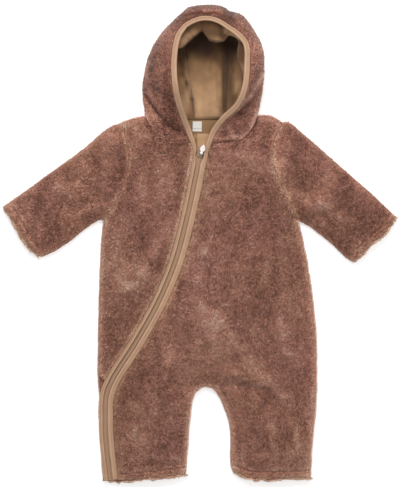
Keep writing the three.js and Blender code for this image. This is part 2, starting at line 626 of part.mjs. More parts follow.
const ROD_SIDES = 16;
function solidOf(geometry) {
  geometry.deleteAttribute('normal');
  geometry.deleteAttribute('uv');
  const merged = mergeVertices(geometry, 1e-4);
  const vertProperties = merged.attributes.position.array;
  const triVerts = Uint32Array.from(merged.index.array);
  return new wasm.Manifold(new wasm.Mesh({ numProp: 3, vertProperties, triVerts }));
}
function geometryOf(solid) {
  const { vertProperties, triVerts } = solid.getMesh();
  const geometry = new THREE.BufferGeometry();
  geometry.setAttribute('position', new THREE.BufferAttribute(vertProperties, 3));
  geometry.setIndex(new THREE.BufferAttribute(triVerts, 1));
  return geometry;
}
function block([x0, x1], [y0, y1], [z0, z1]) {
  const geometry = new THREE.BoxGeometry(x1 - x0, y1 - y0, z1 - z0);
  return solidOf(geometry.translate((x0 + x1) / 2, (y0 + y1) / 2, (z0 + z1) / 2));
}
function rod(radius, half) {
  const geometry = new THREE.CylinderGeometry(radius, radius, 2 * half, ROD_SIDES);
  return solidOf(geometry.rotateZ(Math.PI / 2));
}

function placedAtPin(mesh) {
  mesh.position.set(...PULL.pin);
  mesh.rotation.z = PULL.yaw;
  return mesh;
}

function slider() {
  const drop = PULL.pin[2];
  const plan = [[SLIDER.right, SLIDER.left], [SLIDER.back, SLIDER.front]];
  const ears = [-1, 1].map((sign) => {
    const reach = [sign * SLIDER.earFrom, sign * SLIDER.earTo].sort((a, b) => a - b);
    const height = [SLIDER.plateTop - drop - JOINED, SLIDER.earTop - drop];
    return block(reach, [-SLIDER.earHalf, SLIDER.earHalf], height);
  });
  const post = block(
    [-SLIDER.postHalf, SLIDER.postHalf], [SLIDER.postFrom, SLIDER.postTo],
    [SLIDER.baseTop - drop - JOINED, SLIDER.plateUnder - drop + JOINED]);
  const solid = [
    block(...plan, [SLIDER.plateUnder - drop, SLIDER.plateTop - drop]),
    block(...plan, [SLIDER.baseUnder - drop, SLIDER.baseTop - drop]),
    post, ...ears, rod(PULL.pinRadius, SLIDER.earTo - 0.1),
  ].reduce((sum, piece) => sum.add(piece));
  return placedAtPin(meshOf('zip_slider', geometryOf(solid), METAL));
}

function pullTab() {
  const { neckHalf, neckFrom, widest, wideAt, tip, tipHalf, thick } = PULL;
  const shape = new THREE.Shape();
  shape.moveTo(-neckHalf, 0);
  shape.lineTo(-neckHalf, neckFrom);
  shape.bezierCurveTo(-widest, neckFrom + 0.4, -widest - 0.6, wideAt, -tipHalf, tip - 0.6);
  shape.quadraticCurveTo(0, tip + 0.6, tipHalf, tip - 0.6);
  shape.bezierCurveTo(widest + 0.6, wideAt, widest, neckFrom + 0.4, neckHalf, neckFrom);
  shape.lineTo(neckHalf, 0);
  const plate = new THREE.ExtrudeGeometry(shape, { depth: thick, bevelEnabled: false, curveSegments: 8 });
  const solid = solidOf(plate.translate(0, 0, -thick / 2))
    .add(rod(PULL.eyeRadius, PULL.eyeHalf))
    .subtract(rod(PULL.eyeHole, PULL.eyeHalf + 1));
  return placedAtPin(meshOf('zip_pull', geometryOf(solid), WHITE));
}

const group = new THREE.Group();
group.add(
  backPanel(), frontRight(), frontLeft(), sleeve('right'), sleeve('left'),
  hoodSidePanel('hood_right', 'right', FLEECE, HOOD_LAYERS.shell),
  hoodSidePanel('hood_left', 'left', FLEECE, HOOD_LAYERS.shell),
  hoodCentrePanel('hood_centre', FLEECE, HOOD_LAYERS.shell),
  hoodSidePanel('hood_lining_right', 'right', JERSEY, HOOD_LAYERS.lining),
  hoodSidePanel('hood_lining_left', 'left', JERSEY, HOOD_LAYERS.lining),
  hoodCentrePanel('hood_lining_centre', JERSEY, HOOD_LAYERS.lining),
  hoodBinding(), ...zipPieces(), ...neckPieces(), slider(), pullTab(),
);

export default group;
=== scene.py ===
# A hooded baby snowsuit of long-pile fleece, laid flat on its back with a diagonal zip.
# Sizes are in millimetres until a mesh is made. Right and left are the wearer's.
import math
from functools import partial

import bpy
import numpy as np
from mathutils.kdtree import KDTree
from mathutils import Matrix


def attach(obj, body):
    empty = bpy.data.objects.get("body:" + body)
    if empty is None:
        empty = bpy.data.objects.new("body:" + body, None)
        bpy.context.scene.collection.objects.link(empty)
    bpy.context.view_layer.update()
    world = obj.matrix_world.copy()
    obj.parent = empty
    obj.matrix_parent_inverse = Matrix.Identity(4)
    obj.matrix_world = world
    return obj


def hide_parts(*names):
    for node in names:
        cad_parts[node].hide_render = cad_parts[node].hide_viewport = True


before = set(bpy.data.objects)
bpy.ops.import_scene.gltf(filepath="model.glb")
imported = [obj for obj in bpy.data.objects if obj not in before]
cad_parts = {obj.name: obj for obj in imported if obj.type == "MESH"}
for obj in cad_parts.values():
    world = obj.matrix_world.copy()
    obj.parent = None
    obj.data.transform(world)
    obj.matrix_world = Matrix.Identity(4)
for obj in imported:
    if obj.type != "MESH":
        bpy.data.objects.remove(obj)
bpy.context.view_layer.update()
scene = bpy.context.scene

MM = 0.001
PHOTO = {"width": 400, "mm_per_px": 1.4}
CAMERA_HEIGHT = 9000
SENSOR = 36
RIGHT, LEFT = "right", "left"
SIDES = (RIGHT, LEFT)

# Cloth
CLOTH = 6
SEAM = 0.3
SHUT_SEAM = 0.08  # between the pieces of cloth that the thread draws together
AIR = 3.5
AIR_REACH = 45
LINING = 1
EDGE_ROUND = 14
EDGE_THICK = 2.8
UNDER_ROUND = 6
UNDER_LIFT = 3.2
HEM_WIDTH = 11
HEM_GROOVE = {"depth": 1.5, "half": 2}
FOLD_FADE = 20
FOLD_END = 1.6
LEAST_WALL = 0.8
PILE_DEPTH = 2  # the knitted ground lies this far below the tips of the pile
HEM_RISE = 1.4
HEM_WAY = (0, -1)
CUFF_WAY = {RIGHT: (-0.83, -0.56), LEFT: (0.73, -0.68)}
LEG_FRONT = -112  # east of here the end of the right leg has its front too, beside the zip's end
VALLEY = {"depth": 1.2, "half": 2.6}  # where a seam pulls the cloth down

# Zip and bindings
CHAIN_TOP = 121.5
TAPE_THICK = 0.9
BIND_THICK = 4.4
BIND_NEAR = 3.3
BIND_FAR = {RIGHT: 9, LEFT: 12}
BIND_PARTING = 0.8
NECK_SPREAD = {
    "near": 2.2, "near_from": 112, "near_over": 8, "right": 5, "right_from": 120, "right_over": 23,
}
BIND_TOP = {RIGHT: 141.3, LEFT: 135}
BIND_STEP = 2.6
TOOTH = {"pitch": 1.3, "radius": 0.56, "lift": 0.62, "reach": 2.6, "hook": 0.5}
STITCH = {"pitch": 2.9, "radius": 0.28, "gap": 0.32, "across": 0.48, "level": 0.66, "lift": 0.12}

HOOD = {
    "neck_height": 15.8, "side_height": 60, "forehead_height": 50, "waist": 0.45, "neck_waist": 8,
    "neck_floor": 10, "side_floor": 20, "crown_floor": 11, "neck_share": 0.33,
    "bind_width": 8, "bind_thick": 5.4,
}
V_RIM = 0.4
V_FLOOR = 0.7
NECK_VALLEY = {"depth": 1.6, "half": 4, "rim": 172}  # where the neck seam holds the hood down
# How the lining lies: its gap at the seams, and its hem's overhang and clearance at the neck
LOOSE = {"gap": 0.01, "overhang": 2.8, "overhang_over": 9, "clear": 1.4, "clear_over": 2.6, "fade": 0.12}

# Outlines as laid, each a short list of points that a smooth curve passes through
ZIP = [
    (1.5, 143), (0, 127), (-7, 88), (-19, 32), (-34, -24), (-57, -80), (-88, -136),
    (-123, -192), (-131, -213), (-132.6, -248), (-131.6, -276), (-125.5, -332),
]
ARMHOLE = {
    RIGHT: [(-108.5, 168.3), (-101.6, 139), (-100, 124), (-102, 101.5), (-114.5, 63.6), (-134.3, 31.6)],
    LEFT: [(114.8, 168.7), (103.3, 142.5), (101.8, 124), (107, 97), (120.8, 66.6), (136.8, 31)],
}
SIDE = {
    RIGHT: [(-134.3, 31.6), (-137, 1), (-140, -66), (-141.4, -136), (-142, -181), (-140, -213)],
    LEFT: [(136.8, 31), (145.6, -8), (155.4, -66), (161.6, -130), (162.7, -197)],
}
LEG_SIDE = {
    RIGHT: [(-140, -213), (-140.7, -234), (-138.6, -276), (-135, -332)],
    LEFT: [(162.7, -197), (161.3, -230), (156, -286), (154, -328.6)],
}
CROTCH = (7, -200)
INSEAM = {
    RIGHT: [CROTCH, (2, -201.6), (-2.4, -205), (-8.4, -211), (-14.7, -246), (-18.2, -290), (-21, -325)],
    LEFT: [
        CROTCH, (12, -200.8), (17.8, -203), (26, -212), (37.8, -239), (43.4, -263), (44, -311), (48, -322),
    ],
}
LEG_HEM = {
    RIGHT: [(-135, -332), (-116, -334.3), (-70, -330.4), (-21, -325)],
    LEFT: [(154, -328.6), (130, -330), (66, -329.4), (48, -322)],
}
SLEEVE_OVER = {
    RIGHT: [(-108.5, 168.3), (-128, 161), (-158.5, 135), (-204, 101.5), (-266, 57), (-275, 51)],
    LEFT: [(114.8, 168.7), (122.4, 169.7), (143.5, 153), (204, 100), (243.7, 65), (275, 35)],
}
SLEEVE_UNDER = {
    RIGHT: [(-134.3, 31.6), (-140, 32.5), (-151, 27), (-195, -6), (-221, -18.5), (-227, -18.5)],
    LEFT: [(136.8, 31), (149.7, 25.6), (181.6, 1.3), (210.4, -24.5), (217, -26.7)],
}
CUFF = {
    RIGHT: [(-275, 51), (-257, 21), (-239, -8), (-227, -18.5)],
    LEFT: [(275, 35), (259, 13.4), (237.7, -5), (217, -26.7)],
}
SHOULDER = {
    RIGHT: [(-108.5, 168.3), (-94, 173.4), (-78, 177)],
    LEFT: [(114.8, 168.7), (98, 177.6), (82, 178)],
}
NECKLINE = {
    RIGHT: {"inner": (-15, 143), "outer": (-78, 177), "bow": (-7.6, -14.1), "nape": (-8, 176)},
    LEFT: {"inner": (12, 137), "outer": (82, 178), "bow": (9.1, -15.5), "nape": (36, 176)},
}
RIM = {
    RIGHT: [(-15, 143), (-27, 173), (-37.8, 211), (-40.6, 255), (-34.6, 290), (-24, 305)],
    LEFT: [
        (12, 137), (34, 168.6), (56.3, 190), (66.6, 214), (70.2, 246), (68.2, 279), (55, 295), (40, 305),
    ],
}
HOOD_OUTLINE = {
    RIGHT: [(-78, 177), (-80.9, 222), (-68, 272), (-48, 301), (-24, 323)],
    LEFT: [(82, 178), (89, 222), (89, 269), (78, 295), (58, 319), (40, 324.5)],
}
BACK_SEAM = {
    RIGHT: [(-8, 176), (-14, 225), (-21, 270), (-23, 302)],
    LEFT: [(36, 176), (39, 225), (41, 270), (40, 303)],
}
CENTRE_BULGE = {"rim": 12, "outline": 8.5, "floor": 4}

# Folds of the front and sleeves: from, to, half width, height (a trough is negative)
FOLDS = [
    ((-36, -122), (-35, -212), 8, -2.4),
    ((-52, -120), (-50, -205), 12, 2.6),
    ((45, -196), (82, -206), 8, -2.6),
    ((44, -182), (88, -194), 10, 3.4),
    ((86, -250), (126, -296), 11, 3.2),
    ((112, -246), (140, -282), 9, 2.2),
    ((-8, -114), (36, -150), 11, 2.8),
    ((-62, -8), (-76, -62), 12, 2.6),
    ((22, 88), (62, 40), 14, 1.8),
    ((128, 40), (176, 62), 11, 3.4),
    ((150, 34), (214, -14), 12, 3),
    ((-134, 44), (-178, 66), 11, 3),
    ((-160, 42), (-222, 6), 12, 2.6),
]

# Streaks where the nap turns and catches the light: from, to, half width, tone, rise in mm
STREAKS = [
    ((42, 130), (108, 109), 10.1, 0.26, 0.8),
    ((30, 134), (84, 150), 4.7, 0.2, 0),
    ((-102, 169), (-70, 172), 7.3, 0.2, 0),
    ((-86, 157), (-42, 151), 7.3, 0.3, 0.8),
    ((-193, 78), (-188, 76), 11.4, 0.32, 0.8),
    ((-262, 58), (-226, 24), 12.8, 0.16, 0),
    ((-178, 40), (-142, 54), 8.7, 0.16, 0.6),
    ((-150, 130), (-125, 146), 11.4, 0.15, 0),
    ((-49, 98), (-56, 58), 11.4, 0.27, 0.6),
    ((-86, 92), (-83, 70), 12.8, 0.2, 0.5),
    ((-49, 14), (-81, -38), 8.7, 0.34, 1.4),
    ((-81, -38), (-98, -59), 8.7, 0.26, 0.8),
    ((-122, -62), (-66, -50), 11.4, 0.24, 0.8),
    ((-120, -20), (-112, -46), 7.3, 0.16, 0.6),
    ((9, 78), (-9, 11), 6, 0.25, 0),
    ((-9, 11), (-26, -38), 6, 0.22, 0),
    ((15, 20), (10, -12), 6, 0.3, 1),
    ((10, -12), (0, -56), 7.3, 0.24, 0.8),
    ((14, 60), (15, 58), 6, 0.34, 0.8),
    ((17, 39), (18, 38), 5.5, 0.34, 0.8),
    ((34, 38), (35, 37), 5.2, 0.3, 0.8),
    ((0, -84), (28, -115), 8.7, 0.32, 1.4),
    ((28, -115), (70, -166), 7.3, 0.32, 1.6),
    ((14, -104), (22, -152), 8.7, 0.2, 0.8),
    ((-53, -118), (-42, -164), 6, 0.26, 1),
    ((119, -70), (109, -108), 6.7, 0.24, 0.8),
    ((109, -108), (121, -150), 6.7, 0.22, 0.8),
    ((121, -150), (142, -172), 7.3, 0.24, 0.8),
    ((98, -15), (94, -52), 4.9, 0.24, 0.8),
    ((76, -176), (120, -214), 7.3, 0.26, 1.2),
    ((50, -186), (92, -196), 6, 0.2, 1),
    ((101, -252), (105, -292), 5.2, 0.38, 1.4),
    ((133, -260), (137, -284), 4.7, 0.28, 1),
    ((56, -291), (60, -294), 10.1, 0.28, 0.8),
    ((131, -294), (138, -292), 8.7, 0.28, 0.8),
    ((82, -300), (92, -301), 8.7, 0.26, 0.6),
    ((-92, -226), (-88, -229), 10.1, 0.32, 1),
    ((-96, -268), (-40, -277), 10.1, 0.18, 0.8),
    ((-106, -297), (-30, -298), 7.3, 0.2, 0.6),
    ((-58, -238), (-50, -250), 8.7, 0.16, 0.6),
    ((129, 67), (168, 53), 8, 0.3, 1.2),
    ((168, 53), (212, 31), 8, 0.28, 1.2),
    ((150, 118), (182, 96), 11.4, 0.14, 0.4),
    ((28, 109), (96, 100), 8.7, 0.14, 0.4),
    ((60, 70), (104, 20), 30, -0.1, 0),
    ((50, 0), (110, -60), 26, -0.1, 0),
    ((-120, 130), (-112, 90), 12, -0.1, 0),
    ((-215, 45), (-165, 90), 14, -0.08, 0),
    ((190, 70), (235, 35), 14, -0.1, 0),
    ((-110, -95), (-70, -150), 16, -0.1, 0),
    ((-60, -180), (-95, -215), 14, -0.1, 0),
    ((60, -240), (90, -280), 14, -0.08, 0),
    ((-105, 60), (-100, -60), 26, 0.09, 0),
    ((-60, 100), (-50, 20), 22, 0.08, 0),
    ((-118, -30), (-80, -60), 14, 0.12, 0),
    ((2, -96), (40, -150), 16, 0.05, 0),
    ((-8, 100), (-20, 20), 8, 0.1, 0),
    ((118, -90), (122, -160), 12, 0.08, 0),
    ((60, 122), (100, 112), 12, 0.1, 0),
]

# The same on the hood, seen from above; a negative tone is painted shade in a crease
HOOD_STREAKS = [
    ((-75, 205), (-60, 182), 2.4, -0.3, -2.6),
    ((-60, 182), (-35, 157), 2.4, -0.3, -2.6),
    ((-70, 209), (-55, 187), 2.6, 0.16, 1.4),
    ((-76, 253), (-67, 205), 4, 0.14, 0.8),
    ((86, 234), (69, 204), 2.4, 0.46, 2.2),
    ((69, 204), (53, 186), 2.2, 0.36, 1.8),
    ((53, 186), (24, 166), 2, 0.2, 1.2),
    ((66, 196), (50, 180), 2, -0.25, -1.4),
    ((39, 161), (41, 158), 4, 0.3, 0.6),
    ((43, 151), (47, 149), 4, 0.26, 0.6),
    ((26, 146), (58, 147), 2.6, 0.3, 1),
    ((58, 147), (84, 166), 2.6, 0.26, 1),
    ((80, 172), (84, 196), 6, 0.2, 0.6),
    ((-78, 196), (-62, 172), 5, 0.14, 0.6),
    ((-66, 296), (-46, 306), 4, 0.14, 0),
    ((-25, 313), (-8, 318.5), 1.7, -0.34, -1),
    ((-8, 318.5), (22, 319), 1.7, -0.34, -1),
    ((22, 319), (50, 307), 1.7, -0.3, -1),
    ((-8, 322), (24, 322), 1.5, 0.26, 0.6),
    ((-27, 323), (-25, 313), 1.8, -0.22, -1.6),
    ((38, 327), (43, 316), 1.8, -0.24, -1.6),
    ((46, 312), (62, 300), 3, 0.14, 0.8),
    ((20, 148), (30, 162), 4, 0.3, 0.55),
    ((22, 140.5), (56, 143.4), 2, -0.4, -1.2),
    ((56, 143.4), (84, 166), 2, -0.4, -1.2),
    ((-50, 166), (-18, 154), 2, -0.3, -1),
]
AMOUNT, RISE = 3, 4  # columns of the tables of streaks, folds and shade
WANDER = 5  # mm that a broad streak strays from its straight line
STREAK_SHARE = 0.72


# Points, lines and blends
def mix(a, b, t):
    return a + (b - a) * t


def smooth(value):
    value = np.clip(value, 0, 1)
    return value**2 * (3 - 2 * value)


def quarter(value):
    return np.sqrt(1 - (1 - np.clip(value, 0, 1)) ** 2)


def even(count):
    return np.linspace(0, 1, count + 1)


def unit(vectors):
    return vectors / np.maximum(np.linalg.norm(vectors, axis=-1, keepdims=True), 1e-9)


def curve(points, samples=60):
    """A centripetal spline through the points, as a function of the share of its length."""
    points = np.array(points, float)
    ends = np.vstack([2 * points[0] - points[1], points, 2 * points[-1] - points[-2]])
    steps = np.sqrt(np.linalg.norm(np.diff(ends, axis=0), axis=1))
    t = np.linspace(0, 1, samples, endpoint=False)[:, None]
    run = []
    for at in range(len(points) - 1):
        p0, p1, p2, p3 = ends[at:at + 4]
        d0, d1, d2 = steps[at:at + 3]
        m1 = ((p1 - p0) / d0 - (p2 - p0) / (d0 + d1) + (p2 - p1) / d1) * d1
        m2 = ((p2 - p1) / d1 - (p3 - p1) / (d1 + d2) + (p3 - p2) / d2) * d1
        c2 = -3 * p1 + 3 * p2 - 2 * m1 - m2
        c3 = 2 * p1 - 2 * p2 + m1 + m2
        run.append(p1 + m1 * t + c2 * t**2 + c3 * t**3)
    run = np.vstack([*run, points[-1:]])
    lengths = np.concatenate([[0], np.cumsum(np.linalg.norm(np.diff(run, axis=0), axis=1))])

    def at_share(share):
        return interpolated(np.clip(share, 0, 1) * lengths[-1], lengths, run)

    at_share.length = lengths[-1]
    return at_share


def interpolated(at, places, values):
    """np.interp for rows of values."""
    return np.stack([np.interp(at, places, column) for column in values.T], axis=-1)


def finer(shares, times):
    shares = np.asarray(shares, float)
    return np.interp(np.arange((len(shares) - 1) * times + 1) / times, np.arange(len(shares)), shares)


def part(points, counts):
    """Each stretch of a line is parted into as many equal steps as its count says."""
    points = np.array(points, float)
    run = [points[:1]]
    for at, count in enumerate(counts):
        run.append(mix(points[at], points[at + 1], even(count)[1:, None]))
    return np.vstack(run)


def length_shares(points):
    lengths = np.concatenate([[0], np.cumsum(np.linalg.norm(np.diff(points, axis=0), axis=1))])
    return lengths / lengths[-1]


def resampled(line, count):
    """The same line with evenly spaced points."""
    return interpolated(even(count), length_shares(line), line)


def lifted(plan, height):
    return np.concatenate([plan, height[..., None]], axis=-1)


def near(distance, width):
    return np.exp(-((distance / width) ** 2))


def distance_to(lines):
    starts = np.vstack([np.array(line)[:-1] for line in lines])
    ends = np.vstack([np.array(line)[1:] for line in lines])

    def distance(points):
        flat = np.asarray(points, float)[..., :2].reshape(-1, 2)
        nearest = np.full(len(flat), np.inf)
        for start, end in zip(starts, ends):
            run = end - start
            along = np.clip((flat - start) @ run / (run @ run), 0, 1)
            off = flat - start - along[:, None] * run
            nearest = np.minimum(nearest, (off**2).sum(1))
        return np.sqrt(nearest).reshape(np.shape(points)[:-1])

    return distance


def fill(top, bottom, left, right):
    """Fills the space between four lines with rows that run from the top line to the bottom one."""
    across_top, across_bottom = length_shares(top), length_shares(bottom)
    middle = mix(across_top, across_bottom, 0.5)[None, :]
    down = mix(length_shares(left)[:, None], length_shares(right)[:, None], middle)[..., None]
    across = mix(across_top[None, :, None], across_bottom[None, :, None], down)
    corners = mix(mix(top[0], top[-1], across), mix(bottom[0], bottom[-1], across), down)
    rows = mix(top[None], bottom[None], down)
    columns = mix(left[:, None], right[:, None], across)
    return rows + columns - corners


LATTICE = 32
LATTICE_STEP = 100.37  # sets the lattices of different seeds apart
lattice_values = {
    seed: np.random.default_rng(seed).random((LATTICE,) * 3) * 2 - 1 for seed in range(1, 9)}


def noise(points, size, seed=1):
    """Smooth noise from -1 to 1 with cells of the given size in mm."""
    values = lattice_values[seed]
    places = np.asarray(points, float) / size + LATTICE_STEP * seed
    if places.shape[-1] == 2:
        places = np.concatenate([places, np.zeros(places.shape[:-1] + (1,))], axis=-1)
    base = np.floor(places).astype(int)
    part_way = smooth(places - base)
    total = 0
    for corner in np.ndindex(2, 2, 2):
        weight = np.prod(np.where(np.array(corner), part_way, 1 - part_way), axis=-1)
        index = (base + np.array(corner)) % LATTICE
        total = total + weight * values[index[..., 0], index[..., 1], index[..., 2]]
    return total


# Meshes
def make_mesh(name, points, faces, material, attributes=None):
    """A smooth mesh. faces is a list of arrays, each with one row of vertex numbers a face."""
    mesh = bpy.data.meshes.new(name)
    mesh.vertices.add(len(points))
    mesh.vertices.foreach_set("co", (np.asarray(points, float) * MM).ravel())
    flat = np.concatenate([np.asarray(group).ravel() for group in faces]).astype(np.int32)
    sizes = np.concatenate([np.full(len(group), np.shape(group)[1]) for group in faces])
    mesh.loops.add(len(flat))
    mesh.loops.foreach_set("vertex_index", flat)
    mesh.polygons.add(len(sizes))
    starts = np.concatenate([[0], np.cumsum(sizes)[:-1]]).astype(np.int32)
    mesh.polygons.foreach_set("loop_start", starts)
    mesh.update(calc_edges=True)
    mesh.validate()
    mesh.shade_smooth()
    mesh.materials.append(material)
    piece = bpy.data.objects.new(name, mesh)
    for key, values in (attributes or {}).items():
        add_attribute(piece, key, values)
    scene.collection.objects.link(piece)
    return piece


def add_attribute(piece, name, values):
    layer = piece.data.attributes.new(name, "FLOAT", "POINT")
    layer.data.foreach_set("value", np.asarray(values, np.float32))


def vertex_places(piece):
    """Where the vertices are, in mm."""
    places = np.zeros(len(piece.data.vertices) * 3)
    piece.data.vertices.foreach_get("co", places)
    return places.reshape(-1, 3) / MM


def colour_at(piece, value_at):
    """Gives each vertex the tone of its place."""
    add_attribute(piece, "tone", value_at(vertex_places(piece)))


def colour_across(piece, places, values):
    """Gives each vertex the tone of the nearest of the places."""
    places, values = places.reshape(-1, 3) * MM, values.reshape(-1)
    tree = KDTree(len(places))
    for index, point in enumerate(places):
        tree.insert(point, index)
    tree.balance()
    add_attribute(piece, "tone", [values[tree.find(vertex.co)[1]] for vertex in piece.data.vertices])


def wall(name, layers, material):
    """A closed wall between outer and inner grids, which join where their outer points are the same."""
    outer, inner, quads = [], [], []
    start = 0
    for outer_grid, inner_grid in layers:
        rows, columns = outer_grid.shape[:2]
        numbers = np.arange(rows * columns).reshape(rows, columns) + start
        start += rows * columns
        cells = [numbers[:-1, :-1], numbers[1:, :-1], numbers[1:, 1:], numbers[:-1, 1:]]
        quads.append(np.stack(cells, axis=-1).reshape(-1, 4))
        outer.append(outer_grid.reshape(-1, 3))
        inner.append(inner_grid.reshape(-1, 3))
    outer, inner, quads = np.vstack(outer), np.vstack(inner), np.vstack(quads)
    _, first, merged = np.unique(np.round(outer * 50), axis=0, return_index=True, return_inverse=True)
    outer, inner, quads = outer[first], inner[first], merged.reshape(-1)[quads]
    count = len(outer)
    edges = np.vstack([quads[:, [at, (at + 1) % 4]] for at in range(4)])
    edges = edges[edges[:, 0] != edges[:, 1]]
    codes = edges[:, 0] * count + edges[:, 1]
    free = edges[~np.isin(codes, edges[:, 1] * count + edges[:, 0])]
    sides = np.stack([free[:, 1], free[:, 0], free[:, 0] + count, free[:, 1] + count], axis=-1)
    piece = make_mesh(name, np.vstack([outer, inner]), [quads, quads[:, ::-1] + count, sides], material)
    turn_outwards(piece)
    return piece


def turn_outwards(piece):
    """Turns the faces of a closed mesh over where its volume comes out negative."""
    mesh = piece.data
    mesh.calc_loop_triangles()
    corners = np.zeros(len(mesh.loop_triangles) * 3, int)
    mesh.loop_triangles.foreach_get("vertices", corners)
    a, b, c = vertex_places(piece)[corners].reshape(-1, 3, 3).transpose(1, 0, 2)
    if (np.cross(a, b) * c).sum() < 0:
        mesh.flip_normals()


# Materials
def shader(name, color, roughness, **sockets):
    material = bpy.data.materials.new(name)
    material.use_nodes = True
    surface = material.node_tree.nodes["Principled BSDF"]
    surface.inputs["Base Color"].default_value = (*color, 1)
    surface.inputs["Roughness"].default_value = roughness
    for key, value in sockets.items():
        surface.inputs[key.replace("_", " ")].default_value = value
    return material, surface


def node(material, kind, inputs=None, **settings):
    made = material.node_tree.nodes.new(kind)
    for key, value in settings.items():
        setattr(made, key, value)
    for key, value in (inputs or {}).items():
        if isinstance(value, bpy.types.NodeSocket):
            material.node_tree.links.new(value, made.inputs[key])
        else:
            made.inputs[key].default_value = value
    return made


def link(material, source, target):
    material.node_tree.links.new(source, target)


def object_place(material):
    return node(material, "ShaderNodeTexCoord").outputs["Object"]


def attribute(material, name):
    return node(material, "ShaderNodeAttribute", attribute_name=name).outputs["Fac"]


def noise_node(material, place, scale, detail=3.0):
    return node(material, "ShaderNodeTexNoise", {
        "Vector": place, "Scale": scale, "Detail": detail, "Roughness": 0.55}).outputs["Fac"]


def wave_node(material, place, scale, distortion, direction):
    return node(material, "ShaderNodeTexWave", {
        "Vector": place, "Scale": scale, "Distortion": distortion, "Detail": 1.0, "Detail Scale": 2.0},
        bands_direction=direction).outputs["Fac"]


def ramp(material, value, stops):
    made = node(material, "ShaderNodeValToRGB", {"Fac": value})
    elements = made.color_ramp.elements
    while len(elements) < len(stops):
        elements.new(0.5)
    for element, (place, color) in zip(elements, stops):
        element.position = place
        element.color = (*color, 1)
    return made.outputs["Color"]


def blend_colors(material, factor, first, second, mode="MIX"):
    """Mixes two linked colours. The mix node has a set of sockets for each kind of value."""
    made = node(material, "ShaderNodeMix", data_type="RGBA", blend_type=mode)
    if isinstance(factor, bpy.types.NodeSocket):
        link(material, factor, made.inputs[0])
    else:
        made.inputs[0].default_value = factor
    for index, color in ((6, first), (7, second)):
        link(material, color, made.inputs[index])
    return made.outputs[2]


def multiplied(material, first, second):
    return blend_colors(material, 1.0, first, second, "MULTIPLY")


def bump(material, surface, height, distance, strength, before=None):
    inputs = {"Height": height, "Distance": distance, "Strength": strength}
    if before is not None:
        inputs["Normal"] = before
    made = node(material, "ShaderNodeBump", inputs)
    link(material, made.outputs["Normal"], surface.inputs["Normal"])
    return made.outputs["Normal"]


def srgb(red, green, blue):
    return tuple(((value / 255 + 0.055) / 1.055) ** 2.4 for value in (red, green, blue))


def grey(value):
    return (value,) * 3


TONES = [
    (0.0, srgb(104, 62, 48)),
    (0.36, srgb(178, 122, 104)),
    (0.7, srgb(216, 163, 143)),
    (1.0, srgb(238, 200, 182)),
]
WARM_TONES = [
    (0.0, srgb(104, 66, 45)),
    (0.36, srgb(180, 129, 100)),
    (0.7, srgb(216, 172, 141)),
    (1.0, srgb(240, 207, 178)),
]


def fleece_color(material, tone, warm):
    """Colour by the tone: how far the pile is brushed open, with painted highlights and painted shade in it
    too; and warmer where the pile wears thin (warm).
    """
    return blend_colors(material, warm, ramp(material, tone, TONES), ramp(material, tone, WARM_TONES))


def pile_material():
    """Brushed polyester locks in patches that follow the nap, with painted shade: darker at the root, deep
    in the pile.
    """
    material, surface = shader(
        "fleece_pile", TONES[1][1], 0.8, Sheen_Weight=0.2, Sheen_Roughness=0.5,
        Sheen_Tint=(1, 0.9, 0.85, 1), Specular_IOR_Level=0.2)
    reach, tone, warm = (attribute(material, name) for name in ("reach", "tone", "warm"))
    # Painted shade: each lock darker at its root, deep in the pile, and a little lighter at its tip
    root = ramp(material, reach, [(0.0, (0.6, 0.58, 0.57)), (0.75, grey(1.12))])
    color = multiplied(material, fleece_color(material, tone, warm), root)
    link(material, color, surface.inputs["Base Color"])
    return material


def ground_material():
    """The knitted ground under the pile, matted with short fibres."""
    material, surface = shader(
        "fleece_ground", TONES[0][1], 0.95, Sheen_Weight=0.2, Specular_IOR_Level=0.15)
    place = object_place(material)
    fibre = noise_node(material, place, 420, 4)
    tone = ramp(material, fibre, [(0.3, srgb(132, 84, 70)), (0.75, srgb(176, 124, 108))])
    patch = noise_node(material, place, 38, 2)
    patches = ramp(material, patch, [(0.36, (0.84, 0.82, 0.82)), (0.66, (1.08, 1.06, 1.06))])
    link(material, multiplied(material, tone, patches), surface.inputs["Base Color"])
    coarse = bump(material, surface, noise_node(material, place, 190), 0.0016, 0.9)
    bump(material, surface, fibre, 0.0007, 0.8, before=coarse)
    return material


def knit_material(name, color, shade, relief=1.0, banded=None):
    """Fine jersey: ribs of stitches with a slightly uneven colour, darker where banded says."""
    material, surface = shader(
        name, color, 0.86, Sheen_Weight=0.15, Sheen_Roughness=0.5, Specular_IOR_Level=0.2)
    place = object_place(material)
    wale = wave_node(material, place, 820, 1.2, "X")
    course = wave_node(material, place, 640, 1.6, "Y")
    fuzz = noise_node(material, place, 900)
    tone = ramp(material, noise_node(material, place, 60), [(0.3, shade), (0.7, color)])
    if banded is not None:
        tone = multiplied(material, tone, ramp(material, attribute(material, "tone"), banded))
    loops = multiplied(material, tone, ramp(material, wale, [(0, grey(0.92)), (1, grey(1.04))]))
    link(material, loops, surface.inputs["Base Color"])
    first = bump(material, surface, wale, 0.00012 * relief, 0.6)
    second = bump(material, surface, course, 0.0001 * relief, 0.5, before=first)
    bump(material, surface, fuzz, 0.0003 * relief, 0.6, before=second)
    return material


def plain_material(name, color, roughness, speck=0.06, grain=900, relief=0.00006, **sockets):
    """One colour with a fine speck and grain."""
    material, surface = shader(name, color, roughness, **sockets)
    value = noise_node(material, object_place(material), grain)
    low = tuple(c * (1 - speck) for c in color)
    high = tuple(min(1, c * (1 + speck)) for c in color)
    link(material, ramp(material, value, [(0.3, low), (0.7, high)]), surface.inputs["Base Color"])
    bump(material, surface, value, relief, 0.5)
    return material


